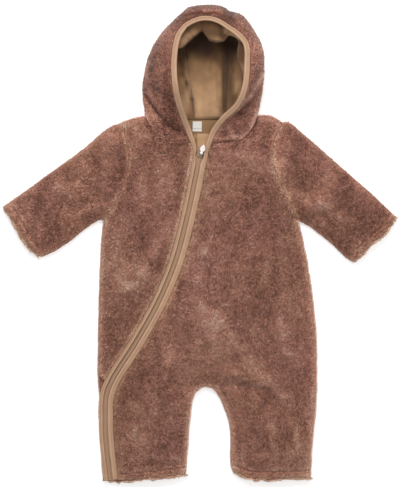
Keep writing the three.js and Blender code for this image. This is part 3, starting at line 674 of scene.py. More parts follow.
JERSEY_SHADES = [
    (0, (0.05, 0.03, 0.018)),
    (0.25, (0.24, 0.2, 0.16)),
    (0.36, (0.35, 0.31, 0.25)),
    (0.65, (0.65, 0.61, 0.57)),
    (1, grey(1)),
]
BINDING_SHADES = [(0, (0.83, 0.81, 0.8)), (1, grey(1))]
MATERIALS = {
    "pile": pile_material(),
    "ground": ground_material(),
    "jersey": knit_material(
        "lining_jersey", srgb(188, 150, 114), srgb(170, 133, 99), banded=JERSEY_SHADES),
    "binding": knit_material(
        "binding_jersey", srgb(189, 153, 125), srgb(178, 141, 113), banded=BINDING_SHADES),
    "tape": knit_material("zip_tape_cloth", srgb(184, 148, 117), srgb(168, 133, 104), relief=0.8),
    "coil": plain_material("zip_coil_nylon", srgb(175, 141, 114), 0.4),
    "thread": plain_material("sewing_thread", srgb(190, 158, 130), 0.7, Sheen_Weight=0.2),
    "slider": plain_material("slider_enamel", srgb(134, 112, 94), 0.4, speck=0.03),
    "pull": plain_material("pull_plastic", srgb(216, 213, 209), 0.3, speck=0.01, Coat_Weight=0.3),
    "label": plain_material("label_satin", srgb(198, 194, 187), 0.5, grain=1600, relief=0.0001),
    "floor": plain_material(
        "pale_floor", grey(0.65), 0.9, speck=0.003, grain=6, Emission_Strength=0.5,
        Emission_Color=(1, 1, 1, 1)),
}

# Heights of the front and back, from the distance to the outer edges of the garment
EDGE_STEPS = even(48)
edge_lines = []
for side in SIDES:
    edge_lines += [
        curve(SIDE[side])(EDGE_STEPS), curve(LEG_SIDE[side])(EDGE_STEPS),
        curve(INSEAM[side])(EDGE_STEPS), curve(SHOULDER[side])(even(8)),
    ]
body_edge = distance_to(edge_lines)
hem_distance = distance_to([curve(LEG_HEM[side])(EDGE_STEPS) for side in SIDES])


def ridges(plan, rows, column=AMOUNT, end=1.0, wander=0.0):
    """The sum of a column of the rows: each row fades out across its width and past its ends."""
    total = np.zeros(plan.shape[:-1])
    for row in rows:
        start, stop, width = np.array(row[0], float), np.array(row[1], float), row[2]
        if row[column] == 0:
            continue
        length = np.linalg.norm(stop - start)
        run = (stop - start) / length
        off = plan + wander * np.clip((width - 2.5) / 4, 0, 1) - start
        along, aside = off @ run, off @ np.array([run[1], -run[0]])
        beyond = np.maximum(0, np.maximum(-along, along - length))
        total += row[column] * np.exp(-((aside / width) ** 2) - (beyond / (end * width)) ** 2)
    return total


def streaks(plan, column):
    """The streaks of the front and sleeves. The broad ones wander a little."""
    wander = WANDER * np.stack([noise(plan, 19, 4), noise(plan, 19, 8)], axis=-1)
    total = ridges(plan, STREAKS, column, wander=wander)
    if column == RISE:
        return total
    return total * (STREAK_SHARE * (1 + 0.5 * noise(plan, 9, 6)))


def groove(distance):
    return HEM_GROOVE["depth"] * near(distance - HEM_WIDTH, HEM_GROOVE["half"])


def seam_valley(line, plan):
    """A seam pulls the cloth down along itself."""
    return VALLEY["depth"] * near(distance_to([line])(plan), VALLEY["half"])


def front_under(plan):
    return CLOTH + SEAM + AIR * smooth(body_edge(plan) / AIR_REACH)


def front_over(plan):
    edge = body_edge(plan)
    thick = EDGE_THICK + (CLOTH - EDGE_THICK) * quarter(edge / EDGE_ROUND)
    relief = ridges(plan, FOLDS, end=FOLD_END) * smooth(edge / FOLD_FADE) - groove(hem_distance(plan))
    return front_under(plan) + thick + np.maximum(relief, LEAST_WALL - thick)


def clumps(places):
    """Uneven matting of the fleece, in mm."""
    return 0.55 * noise(places, 6.5, 2) + 0.5 * noise(places, 15, 3)


def lumpy(plan, distance, way):
    """Pushes the hem in and out a little, the way that it faces."""
    lumps = 0.7 * noise(plan, 6, 6) + 0.7 * noise(plan, 13, 7)
    return plan + np.array(way) * (lumps * near(distance(plan), 6))[..., None]


def rolled(plan, distance):
    """The turned-up hem stands a little proud, unevenly."""
    return HEM_RISE * near(distance(plan) - 5, 4) * (1 + 0.9 * noise(plan, 7, 5))


def front_layers(grids):
    """The upper and under sides of pieces of the front, with folds, streaks, seams and hems."""
    made = []
    for plan in grids:
        plan = lumpy(plan, hem_distance, HEM_WAY)
        under = front_under(plan)
        edge = body_edge(plan)
        rise = streaks(plan, RISE) * smooth(edge / FOLD_FADE)
        for side in SIDES:
            rise -= seam_valley(curve(ARMHOLE[side])(even(40)), plan)
        ground = front_over(plan) - PILE_DEPTH * smooth(0.35 + edge / 8) + clumps(plan) + rise
        ground += rolled(plan, hem_distance)
        made.append((lifted(plan, np.maximum(ground, under + LEAST_WALL)), lifted(plan, under)))
    return made


# Where the rows and columns of the grids lie, as shares of the way across or down
ACROSS = {
    "outer": [0, 0.03, 0.09, 0.22, 0.4, 0.6, 0.78, 0.91, 0.97, 1],
    "free": [0, 0.12, 0.25, 0.38, 0.52, 0.66, 0.8, 0.91, 0.97, 1],
    "tip": [0, 0.04, 0.12, 0.24, 0.36, 0.48, 0.6, 0.7, 0.8, 0.9, 0.95, 1],
}
DOWN_ARMHOLE = [0, 0.035, 0.1, 0.22, 0.37, 0.52, 0.67, 0.8, 0.91, 0.967, 1]
DOWN_SIDE = even(9)
DOWN_LEG = [0, 0.06, 0.14, 0.29, 0.44, 0.59, 0.73, 0.83, 0.895, 0.917, 0.94, 0.97, 1]
DOWN_SLEEVE = [0, 0.12, 0.25, 0.38, 0.51, 0.64, 0.76, 0.86, 0.915, 0.935, 0.955, 0.98, 1]
FINE = 3
BACK_FINE = 2
RIM_STEPS = 6


def edge_down(side, times, steps=DOWN_SIDE):
    """The armhole and the side seam in one line."""
    armhole = curve(ARMHOLE[side])(finer(DOWN_ARMHOLE, times))
    return np.vstack([armhole, curve(SIDE[side])(finer(steps, times))[1:]])


def neck_point(neck, share):
    """A point of the neckline, which bows out between its ends."""
    inner, outer, bow = (np.array(neck[key]) for key in ("inner", "outer", "bow"))
    share = np.asarray(share)[..., None]
    return mix(inner, outer, share) + bow * 4 * share * (1 - share)


def front_neckline(side, times):
    neck = NECKLINE[side]
    bow = np.array(neck["bow"])
    turns = np.sin(even(RIM_STEPS * times) * math.pi / 2)
    return neck_point(neck, turns) + SHUT_SEAM * bow / np.linalg.norm(bow)


zip_at = curve(ZIP, 120)


def zip_point(share, offset):
    """A point beside the zip's middle line: a positive offset lies towards the wearer's left."""
    step = 0.004
    run = unit(zip_at(share + step) - zip_at(share - step))
    beside = np.stack([-run[..., 1], run[..., 0]], axis=-1)
    return zip_at(share) + beside * np.asarray(offset)[..., None]


def zip_share(y):
    """The share of the zip's length at a place north."""
    shares = even(4000)
    return np.interp(-y, -zip_at(shares)[:, 1], shares)


def binding_point(side, share, across, beyond=0.0):
    """A point of the binding, 0 across at the coil and 1 at the fleece. It spreads at the neck."""
    y = zip_at(share)[..., 1]

    def spread(key):
        return NECK_SPREAD[key] * smooth((y - NECK_SPREAD[key + "_from"]) / NECK_SPREAD[key + "_over"])

    far = BIND_FAR[side] + (spread("right") if side == RIGHT else 0)
    offset = mix(BIND_NEAR + spread("near"), far, across) + beyond
    return zip_point(share, -offset if side == RIGHT else offset)


def zip_edge(side, start, end, steps):
    return binding_point(side, mix(start, end, steps), 1, BIND_PARTING)


# Where the narrow right front ends in a tip, and where the line across the crotch meets the zip
RIGHT_TIP = zip_share(-196)
CROTCH_ON_ZIP = zip_share(-211)


def front_left_grids():
    """The wide left front and its two legs."""
    right = edge_down(LEFT, FINE)
    left = zip_edge(LEFT, zip_share(BIND_TOP[LEFT]), CROTCH_ON_ZIP, length_shares(right))
    shoulder = curve(SHOULDER[LEFT][::-1])(even(7 * FINE))
    neck = front_neckline(LEFT, 2 * FINE)
    top = resampled(np.vstack([left[:1], neck[2:], shoulder[1:]]), 18 * FINE)
    free, outer, down = (finer(shares, FINE) for shares in (ACROSS["free"], ACROSS["outer"], DOWN_LEG))
    half_right = mix(left[-1], np.array(CROTCH), free[:, None])
    half_left = mix(np.array(CROTCH), np.array(LEG_SIDE[LEFT][0]), outer[:, None])
    body = fill(top, np.vstack([half_right, half_left[1:]]), left, right)
    zip_leg = zip_edge(LEFT, CROTCH_ON_ZIP, 1, down)
    hem_right = curve([zip_leg[-1], *LEG_HEM[RIGHT][2:]])(free)
    leg_right = fill(half_right, hem_right, zip_leg, curve(INSEAM[RIGHT])(down))
    hem_left = curve(LEG_HEM[LEFT][::-1])(outer)
    leg_left = fill(half_left, hem_left, curve(INSEAM[LEFT])(down), curve(LEG_SIDE[LEFT])(down))
    return body, leg_right, leg_left


def front_right_grids():
    """The narrow right front, which ends in a tip at the zip."""
    side = edge_down(RIGHT, FINE, DOWN_SIDE[:-1])
    edge = zip_edge(RIGHT, zip_share(BIND_TOP[RIGHT]), RIGHT_TIP, length_shares(side))
    neck = front_neckline(RIGHT, 2 * FINE)[::-1]
    shoulder = curve(SHOULDER[RIGHT])(even(12))
    top = resampled(np.vstack([shoulder[:-1], neck]), 11 * FINE)
    edge[0] = top[-1]
    bottom = mix(side[-1], edge[-1], finer(ACROSS["tip"], FINE)[:, None])
    return (fill(top, bottom, side, edge),)


def back_grids():
    """The back and its two legs, in one piece from side to side."""
    outer, down = finer(ACROSS["outer"], BACK_FINE), finer(DOWN_LEG, BACK_FINE)
    half_right = mix(np.array(LEG_SIDE[RIGHT][0]), np.array(CROTCH), outer[:, None])
    half_left = mix(np.array(CROTCH), np.array(LEG_SIDE[LEFT][0]), outer[:, None])
    left, right = edge_down(RIGHT, BACK_FINE), edge_down(LEFT, BACK_FINE)
    shoulder = np.array([
        *SHOULDER[RIGHT][:-1], NECKLINE[RIGHT]["outer"], NECKLINE[RIGHT]["nape"],
        NECKLINE[LEFT]["nape"], NECKLINE[LEFT]["outer"], *SHOULDER[LEFT][:-1][::-1]], float)
    top = part(shoulder - (0, SEAM), [2, 2, 8, 8, 8, 4, 4])
    left[0], right[0] = top[0], top[-1]
    body = fill(top, np.vstack([half_right, half_left[1:]]), left, right)
    outside, inseam = ({side: curve(line[side])(down) for side in SIDES} for line in (LEG_SIDE, INSEAM))
    leg_right = fill(half_right, curve(LEG_HEM[RIGHT])(outer), outside[RIGHT], inseam[RIGHT])
    leg_left = fill(half_left, curve(LEG_HEM[LEFT][::-1])(outer), inseam[LEFT], outside[LEFT])
    return body, leg_right, leg_left


def back_layers():
    """The back lies on the table and is rounded at its outer edges."""
    made = []
    for plan in back_grids():
        plan = lumpy(plan, hem_distance, HEM_WAY)
        under = UNDER_LIFT * (1 - quarter(body_edge(plan) / UNDER_ROUND))
        over = np.full(plan.shape[:2], float(CLOTH))
        uneven = 0.25 * (1 + noise(plan, 9, 4)) * (under < 1)
        made.append((lifted(plan, over), lifted(plan, under + uneven)))
    return made


# Sleeves: flattened tubes, with rings that run over the top and back along the underside
def sleeve_layers(side):
    across = finer(DOWN_ARMHOLE, FINE)
    parting = -SHUT_SEAM if side == RIGHT else SHUT_SEAM
    armhole = curve(ARMHOLE[side])(across) + (parting, 0)
    cuff = curve(CUFF[side])(across)
    over, under = (curve(line[side])(finer(DOWN_SLEEVE, FINE)) for line in (SLEEVE_OVER, SLEEVE_UNDER))
    over[0], under[0] = armhole[0], armhole[-1]
    plan = fill(armhole, cuff, over, under)
    edge, cuff_distance = distance_to([over, under]), distance_to([cuff])
    middle = CLOTH + SEAM / 2

    def air(places):
        return AIR * smooth((edge(places) - CLOTH) / AIR_REACH)

    relief = (ridges(plan, FOLDS, end=FOLD_END) + streaks(plan, RISE)) * smooth(edge(plan) / FOLD_FADE)
    relief -= groove(cuff_distance(plan)) + seam_valley(curve(ARMHOLE[side])(even(40)), plan)
    relief += rolled(plan, cuff_distance)
    plan = lumpy(plan, cuff_distance, CUFF_WAY[side])
    ground = CLOTH + relief - PILE_DEPTH + clumps(plan)
    over_height = middle + np.maximum(ground, LEAST_WALL) * quarter(edge(plan) / EDGE_ROUND) + air(plan)
    under_height = middle * (1 - quarter(edge(plan) / UNDER_ROUND))
    width = np.linalg.norm(plan[:, 0] - plan[:, -1], axis=-1)
    inset = np.minimum(CLOTH / width, 0.3)[:, None]
    shares = inset + across[None] * (1 - 2 * inset)
    inside = np.stack([interpolated(row_shares, across, row) for row_shares, row in zip(shares, plan)])
    drop = np.full(plan.shape[:2], SEAM / 2)
    drop[:, [0, -1]] = 0

    def tube(flat, upper, lower):
        return np.concatenate([lifted(flat, upper), lifted(flat, lower)[:, -2::-1]], axis=1)

    return [(tube(plan, over_height, under_height), tube(inside, middle + air(inside), middle - drop))]


# Hood sides: u runs from the neck up to the crown, v from the rim over the outer edge and back underneath
def hood_side(side):
    """A side panel as a function of u, v and the depth below its outside."""
    rim, outline, seam = curve(RIM[side]), curve(HOOD_OUTLINE[side]), curve(BACK_SEAM[side])
    bow = np.array(NECKLINE[side]["bow"])

    def at(u, v, depth):
        u, v, depth = np.broadcast_arrays(*(np.asarray(value, float) for value in (u, v, depth)))
        rise, fall = smooth(2 * u), smooth(2 * u - 1)
        height = mix(mix(HOOD["neck_height"], HOOD["side_height"], rise), HOOD["forehead_height"], fall)
        waist = mix(HOOD["neck_waist"], HOOD["waist"] * height, smooth(u / HOOD["neck_share"]))
        reach = mix(mix(HOOD["neck_floor"], HOOD["side_floor"], rise), HOOD["crown_floor"], fall)
        top, edge, end = rim(u), outline(u), seam(u)
        inward = unit(end - edge)
        inside = edge + inward * depth[..., None]
        floor = edge + inward * np.maximum(reach, depth + 2)[..., None]
        turn = np.clip(v / V_RIM, 0, 1) * math.pi / 2
        share = np.sin(turn)[..., None]
        sag = 4 * share * (1 - share) * (1 - smooth(u / HOOD["neck_share"]))[..., None]
        over = lifted(mix(top, inside, share) + bow * sag, waist + (height - depth - waist) * np.cos(turn))
        turn = np.clip((v - V_RIM) / (V_FLOOR - V_RIM), 0, 1) * math.pi / 2
        wall_height = waist - (waist - depth) * np.sin(turn)
        side_wall = lifted(mix(floor, inside, np.cos(turn)[..., None]), wall_height)
        along = np.clip((v - V_FLOOR) / (1 - V_FLOOR), 0, 1)[..., None]
        under = lifted(mix(floor, end, along), depth)
        low = np.where((v <= V_FLOOR)[..., None], side_wall, under)
        return np.where((v <= V_RIM)[..., None], over, low)

    return at


HOOD_SIDES = {side: hood_side(side) for side in SIDES}
HOOD_FINE = 3
HOOD_U = even(12 * HOOD_FINE)
HOOD_V = np.concatenate([
    even(RIM_STEPS * HOOD_FINE) * V_RIM,
    mix(V_RIM, V_FLOOR, even(4 * HOOD_FINE))[1:],
    mix(V_FLOOR, 1, even(3 * HOOD_FINE))[1:],
])
CENTRE_U = np.concatenate([np.ones(len(HOOD_V)), HOOD_U[::-1][1:]])
CENTRE_V = np.concatenate([HOOD_V, np.ones(len(HOOD_U) - 1)])
CENTRE_ACROSS = even(24)
CENTRE_CROWN = 7
REST_DEPTH = 0.3


def ground_depth(v):
    """The ground lies below the tips of the pile, but for the part that rests on the floor."""
    return mix(PILE_DEPTH, REST_DEPTH, smooth((v - V_RIM) / (V_FLOOR - V_RIM)))


def hood_side_grid(side, depth):
    u, v = np.meshgrid(HOOD_U, HOOD_V, indexing="ij")
    return HOOD_SIDES[side](u, v, depth(v) if callable(depth) else depth)


def lifted_off(points, u, v, crown=0):
    """Raises the lining a little off the hood's floor, and lets its hem hang over the neck's facing."""
    floor_part = smooth((v - V_FLOOR + LOOSE["fade"]) / LOOSE["fade"])
    up = u * curve(RIM[RIGHT]).length
    rise = mix(LOOSE["clear"], floor_lift(points[..., :2]) + crown, smooth(up / LOOSE["clear_over"]))
    moved = points.copy()
    moved[..., 2] += rise * floor_part
    moved[..., 1] -= LOOSE["overhang"] * (1 - smooth(up / LOOSE["overhang_over"])) * floor_part
    return moved


def lining_side_grid(side, depth):
    """The lining's own shape: loose under the rim and a little above the hood's floor."""
    u, v = np.meshgrid(HOOD_U, HOOD_V, indexing="ij")
    points = hood_side_grid(side, depth)
    rim_place = u if side == RIGHT else 2 + CENTRE_SHARE - u
    return lifted_off(drape(points, points[:, :1], rim_place, v), u, v)


def lining_centre_grid(depth):
    grid = centre_grid(depth, gap=LOOSE["gap"])
    share, u, v = np.broadcast_arrays(CENTRE_ACROSS, CENTRE_U[:, None], CENTRE_V[:, None])
    grid = drape(grid, grid[:1], 1 + CENTRE_SHARE * share, v)
    return lifted_off(grid, u, v, CENTRE_CROWN * share**2 * (1 - share) * smooth(u / 0.2))


def centre_grid(depth, u=CENTRE_U, v=CENTRE_V, gap=SHUT_SEAM):
    """The centre panel between the two side panels, over the crown and down the back."""
    depth = depth(v) if callable(depth) else np.full(len(v), float(depth))
    start, end = HOOD_SIDES[RIGHT](u, v, depth), HOOD_SIDES[LEFT](u, v, depth)
    parting = gap / (end[:, 0] - start[:, 0])[:, None]
    share = mix(parting, 1 - parting, CENTRE_ACROSS[None])
    over_rim = mix(CENTRE_BULGE["rim"], CENTRE_BULGE["outline"], smooth(v / V_RIM))
    over_floor = mix(over_rim, CENTRE_BULGE["floor"], smooth((v - V_RIM) / (V_FLOOR - V_RIM)))
    bulge = over_floor * (1 - smooth((1 - u) / HOOD["neck_share"]))
    grid = mix(start[:, None], end[:, None], share[..., None])
    middle = mix(4 * share * (1 - share), 1 - np.abs(2 * share - 1) ** 3.4, smooth(v / 0.3)[:, None])
    grid[..., 1] += bulge[:, None] * middle
    return grid


def rim_path(steps=64):
    """The rim from the wearer's right neck seam over the forehead to the left one."""
    u = even(steps)
    across = centre_grid(0, np.ones(1), np.zeros(1))[0]
    return np.vstack([HOOD_SIDES[RIGHT](u[:-1], 0, 0), across, HOOD_SIDES[LEFT](u[::-1][1:], 0, 0)])


def matted(outer, inner, u, v):
    """Mats the hood's outside, with folds on its upper side and a valley at the neck seam."""
    upper = 1 - smooth((v - 0.25) / 0.12)
    neck = NECK_VALLEY["depth"] * near(u * NECK_VALLEY["rim"], NECK_VALLEY["half"])
    rise = 0.8 * clumps(outer) + (ridges(outer[..., :2], HOOD_STREAKS, RISE) - neck) * upper
    moved = outer + unit(outer - inner) * rise[..., None]
    moved[..., 2] = np.maximum(moved[..., 2], 0)
    return moved


# The edge of the lining that hangs loose under the rim. Each row is a place along the rim, 0 to 1 on the
# right panel and the rest on the centre and left ones, then its east and its north.
DRAPE_EDGE = np.array([
    (0.74, -33, 266), (0.86, -20, 275.5), (1.0, -9, 286), (1.13, 3, 295.5),
    (1.18, 7.5, 289), (1.23, 13, 281.5), (1.3, 23, 279), (1.35, 34, 281),
    (1.4, 40, 289.5), (1.5, 48.5, 287), (1.6, 53.5, 281), (1.68, 52, 272),
    (1.76, 51, 261), (1.84, 54, 251), (1.94, 60, 238), (2.04, 62, 226),
])
CENTRE_SHARE = 0.37

# The drape's edge is at v "at" and its end at the wall is at v "back". "fade" is in places along the rim.
DRAPE = {
    "at": 0.13, "back": 0.36, "fade": 0.05, "drop": 7, "under": 3.5, "rim": 170, "ripple": 8, "above": 27,
}


def drape(points, rim, rim_place, v):
    """Lets the lining hang in from the rim to the loose edge, and turns it back to the wall from there."""
    places = DRAPE_EDGE[:, 0]
    along = rim_place * DRAPE["rim"]
    ripple = noise(np.stack([along, 0 * along], axis=-1), DRAPE["ripple"], 4)
    hang = rim[..., 2] - DRAPE["drop"] + 2 * ripple
    edge = lifted(interpolated(rim_place, places, DRAPE_EDGE[:, 1:]), hang)
    out = np.clip(v / DRAPE["at"], 0, 1)[..., None]
    back = smooth((v - DRAPE["at"]) / (DRAPE["back"] - DRAPE["at"]))[..., None]
    flap = mix(rim, edge, out)
    flap[..., 2] += (0.9 * noise(flap[..., :2], 9, 5) + 1.2 * ripple) * (out * (1 - out) * 4)[..., 0]
    turned = mix(mix(edge, edge - (0, 0, DRAPE["under"]), smooth(back * 6)), points, back)
    hung = np.where(v[..., None] <= DRAPE["at"], flap, turned)
    started = smooth((rim_place - places[0]) / DRAPE["fade"])
    ended = smooth((places[-1] - rim_place) / DRAPE["fade"])
    return mix(points, hung, (started * ended)[..., None])


# Creases of the lining's floor: from, to, half width, rise in mm
LINING_FOLDS = [
    ((-26, 240), (-19, 224), 3, -2.2), ((-19, 224), (-11, 200), 3, -2.6),
    ((-11, 200), (-8, 178), 2.6, -2.4), ((-27, 228), (-19, 206), 2.4, 1.6),
    ((-19, 206), (-15, 182), 2.2, 1.6), ((-24, 214), (-21, 190), 1.8, -1),
    ((0, 262), (8, 236), 9, 2.4), ((10, 214), (6, 190), 8, 1.4), ((24, 226), (22, 196), 7, 1.6),
    ((14, 188), (30, 186), 5, 1), ((-4, 184), (28, 182), 2.4, 0.8), ((31, 262), (33, 190), 3, 2.2),
    ((20, 268), (26, 246), 4, -1.8), ((60, 236), (54, 214), 4, 4), ((62, 256), (60, 236), 5, 5),
]

# Deep painted shade in the lining's hollows: from, to, half width, depth of the shade; a negative depth
# paints a highlight
LINING_SHADE = [
    ((0, 284), (6, 272), 12, 2), ((-14, 276), (8, 270), 8, 1.6), ((-27, 268), (-21, 262), 6, 1.1),
    ((-27, 256), (-24, 246), 4, 0.8), ((32, 282), (50, 274), 7, 1.6), ((38, 274), (42, 262), 9, 1.1),
    ((38, 264), (38, 182), 7.6, 1), ((44, 232), (45, 205), 3.4, 0.5), ((50, 205), (46, 196), 3.4, 0.9),
    ((-26, 240), (-19, 224), 2, 0.9), ((-19, 224), (-11, 200), 2, 1.1),
    ((-11, 200), (-8.5, 177), 1.8, 0.9), ((-29, 236), (-22, 208), 2, 0.5),
    ((-22, 208), (-15, 178), 2, 0.6), ((31.5, 262), (33, 188), 1.8, 0.6), ((12, 278), (24, 276), 3, 0.5),
    ((22, 262), (28, 246), 4, 0.3), ((2, 264), (18, 262), 9, 0.3), ((16, 258), (14, 240), 1.6, 0.2),
    ((23, 240), (24, 200), 1.3, 0.18), ((6, 196), (24, 190), 1.4, 0.16),
    ((-38, 250), (-30, 200), 3, 0.3), ((44, 252), (47, 240), 2, 0.5), ((-16, 176), (-8, 174), 2.4, 0.5),
    ((-4, 178.5), (28, 178.5), 2.2, -0.5),
]

# The same on the loose drape under the rim; the negative depths paint highlights on its lit folds
DRAPE_SHADE = [
    ((-32, 274), (-20, 282), 7, -0.45), ((-26, 285), (-8, 293), 6, -0.75),
    ((36, 297), (57, 285), 3.4, -1.9), ((30, 291), (45, 284), 3, 0.6),
    ((56, 270), (56, 256), 7, 0.9), ((4, 296), (2, 312), 2.4, 0.3), ((10, 284), (32, 281), 2.8, -1.1),
    ((28, 300), (32, 284), 2.4, 0.4), ((-20, 292), (-12, 302), 1.6, 0.25),
]

# The light that reaches the lining's floor, from the neck (north 170) up under the crown
FLOOR_LIGHT = np.array([
    (170, 0.85), (193, 0.9), (215, 0.8), (228, 0.68), (253, 0.42), (285, 0.3), (320, 0.28)])


def deep_shade(places):
    """1 in the light and near 0 in the deepest hollows of the lining."""
    plan = places[:, :2]
    high = smooth((places[:, 2] - DRAPE["above"]) / 8)
    shade = mix(ridges(plan, LINING_SHADE), ridges(plan, DRAPE_SHADE), high)
    light = np.interp(plan[:, 1], *FLOOR_LIGHT.T)
    return np.minimum(1, light * np.exp(-shade) * (1 + 0.1 * noise(plan, 7, 3)))


LINING_LIFT = 4
SEAM_DIP = {RIGHT: {"depth": 1.6, "half": 8}, LEFT: {"depth": 3.2, "half": 12}}
back_seams = {side: distance_to([curve(BACK_SEAM[side])(even(20))]) for side in SIDES}


def floor_lift(plan):
    """How far the lining stands above the hood's floor: lower along its seams."""
    gathers = 0.9 * noise(plan / np.array([5.0, 26.0]), 1, 2) + 0.6 * noise(plan, 13, 3)
    dips = sum(
        dip["depth"] * (1 - smooth(back_seams[side](plan) / dip["half"])) for side, dip in SEAM_DIP.items())
    return np.maximum(0, LINING_LIFT + gathers + ridges(plan, LINING_FOLDS) - dips)


# The pile: each lock is a small bent spindle that roots in the ground and leans with the nap
def scatter(grids, count, rng, along, sides_share):
    """Roots all over the outer grids, thinner on steep sides, and the way that the nap lies there."""
    cells = {key: [] for key in ("a", "b", "c", "d", "normal")}
    for outer, inner in grids:
        a, b, c, d = outer[:-1, :-1], outer[:-1, 1:], outer[1:, 1:], outer[1:, :-1]
        normal = np.cross(c - a, b - d)
        sign = np.sign((normal * (outer - inner)[:-1, :-1]).sum(-1, keepdims=True))
        for key, value in zip(cells, (a, b, c, d, normal * np.where(sign == 0, 1, sign) / 2)):
            cells[key].append(value.reshape(-1, 3))
    cells = {key: np.vstack(values) for key, values in cells.items()}
    area = np.linalg.norm(cells["normal"], axis=-1)
    normal = unit(cells["normal"])
    up = normal[:, 2]
    weight = area * np.clip(mix(sides_share, 1, (up + 0.2) / 0.7), 0, 1) * (up > -0.75)
    chosen = rng.choice(len(area), count, p=weight / weight.sum())
    s, t = rng.random((2, count, 1))
    a, b, c, d = (cells[key][chosen] for key in "abcd")
    roots = mix(mix(a, b, s), mix(d, c, s), t)
    nap = unit(mix(d - a, c - b, s)) if along == 0 else unit(mix(b - a, c - d, t))
    return roots, normal[chosen], nap


LOCK_FACES = np.array([(0, 1, 3), (1, 2, 3), (2, 0, 3)])
LOCK_WIDTH = 1.55
ROOT_DEPTH = 0.5
FLOOR_GAP = 0.15


def pile(name, grids, count, seed, look, along=0, length=4.4, sides_share=0.6, stand=40):
    """look gives each root its tone, warmth, share of the length and the way that it is pushed.

    stand is the angle of a lock at its root, in degrees."""
    rng = np.random.default_rng(seed)
    roots, normal, nap = scatter(grids, count, rng, along, sides_share)
    tone, warm, short, push = look(roots)
    nap = nap + lifted(push, np.zeros(count))
    nap = unit(nap - normal * (nap * normal).sum(-1, keepdims=True))
    beside = np.cross(normal, nap)
    calm = smooth((short - 0.5) / 0.5) * (short < 1.001)
    swirl = calm * (0.8 * noise(roots, 10, 5) + 0.7 * noise(roots, 30, 6)) + rng.normal(0, 0.45, count)
    bend = swirl + calm * 0.8 * noise(roots, 5, 7) + rng.normal(0, 0.6, count)
    tuft = length * short * (1 + 0.2 * noise(roots, 7, 8)) * rng.uniform(0.75, 1.2, count)
    rise = np.radians(stand + 18 * noise(roots, 6, 4) + rng.normal(0, 10, count))
    dip = np.radians(stand - 30 + rng.normal(0, 18, count))
    start = roots - normal * ROOT_DEPTH
    lower, upper = (
        (nap * np.cos(turn)[:, None] + beside * np.sin(turn)[:, None]) * np.cos(lean)[:, None]
        + normal * np.sin(lean)[:, None]
        for turn, lean in ((swirl, rise), (bend, dip)))
    tip = start + (lower * 0.55 + upper * 0.5) * tuft[:, None]
    run = unit(tip - start)
    across = unit(np.cross(run, normal))
    over = np.cross(across, run)
    foot = start + lower * (0.22 * tuft)[:, None]
    radius = (LOCK_WIDTH / 2 * (0.5 + 0.5 * short) * rng.uniform(0.75, 1.25, count))[:, None]
    around = [
        foot + radius * (across * math.cos(turn) + over * math.sin(turn))
        for turn in (math.pi / 2, math.pi * 7 / 6, math.pi * 11 / 6)]
    points = np.stack([*around, tip], axis=1).reshape(-1, 3)
    points[:, 2] = np.maximum(points[:, 2], FLOOR_GAP)
    faces = (LOCK_FACES[None] + 4 * np.arange(count)[:, None, None]).reshape(-1, 3)
    mottle = 0.17 * noise(roots, 2.5, 1) + rng.normal(0, 0.16, count)
    return make_mesh(name, points, [faces], MATERIALS["pile"], attributes={
        "reach": np.tile([0.0, 0.0, 0.0, 1.0], count),
        "tone": np.repeat(tone + mottle, 4),
        "warm": np.repeat(warm, 4)})


def mottled(places):
    """Patches of pile that lie one way or another, longer down the garment than across."""
    plan = places[..., :2]
    long_patch = noise(plan / np.array([13.0, 30.0]), 1, 3)
    return (0.08 * noise(places, 52, 1) + 0.12 * long_patch + 0.05 * noise(places, 12, 5)
            + 0.03 * noise(places, 6, 6))


def push_from(distance, plan, reach, amount, step=0.8):
    """Pushes the locks near a line away from it, or towards it where the amount is negative."""
    push = np.zeros(plan.shape)
    at = distance(plan)
    close = at < 2.2 * reach
    places = plan[close]
    east, north = np.array([step, 0]), np.array([0, step])
    way = unit(np.stack([
        distance(places + east) - distance(places - east),
        distance(places + north) - distance(places - north)], axis=-1))
    push[close] = way * (amount * near(at[close], reach))[:, None]
    return push


def side_lines(table, count):
    """The distance to a line of each side."""
    return distance_to([curve(table[side])(even(count)) for side in SIDES])


zip_distance = distance_to([zip_edge(side, 0.02, 1, even(80)) for side in SIDES])
neck_distance = distance_to([neck_point(NECKLINE[side], even(16)) for side in SIDES])
armhole_distance = side_lines(ARMHOLE, 30)
cuff_distance = side_lines(CUFF, 12)
rim_distance = side_lines(RIM, 40)
hood_edge = side_lines(HOOD_OUTLINE, 40)
sleeve_edge = distance_to([
    curve(line[side])(even(24)) for line in (SLEEVE_OVER, SLEEVE_UNDER) for side in SIDES])
BODY_LINES = {
    "edge": body_edge, "hem": hem_distance, "zip": zip_distance, "armhole": armhole_distance,
    "neck": neck_distance,
}
SLEEVE_LINES = {"edge": sleeve_edge, "hem": cuff_distance, "armhole": armhole_distance}
HOOD_LINES = {"rim": rim_distance, "edge": hood_edge, "neck": neck_distance}

# How tone and warmth change beside a line: the line, how far from it, half width and amount
INSIDE_HEM = HEM_WIDTH + 4
# On the body: lighter beside the edge, partly lighter fibres where the pile stands up and partly a painted
# sheen; lighter along the hem's groove, painted light that offsets its shade; darker beside the neck seam,
# a painted shadow under the hood's edge
BODY_TONES = [
    ("edge", 0, 3, 0.2), ("edge", 3, 4, 0.28), ("zip", 0, 6, 0.16), ("armhole", 1, 2.6, 0.28),
    ("hem", INSIDE_HEM, 3, 0.24), ("hem", 0, 7, 0.42), ("neck", 0, 3, -0.34),
]
BODY_WARMTHS = [("zip", 0, 9, 0.5), ("armhole", 0, 4, 0.45), ("edge", 0, 4, 0.25), ("hem", 0, 8, 0.4)]
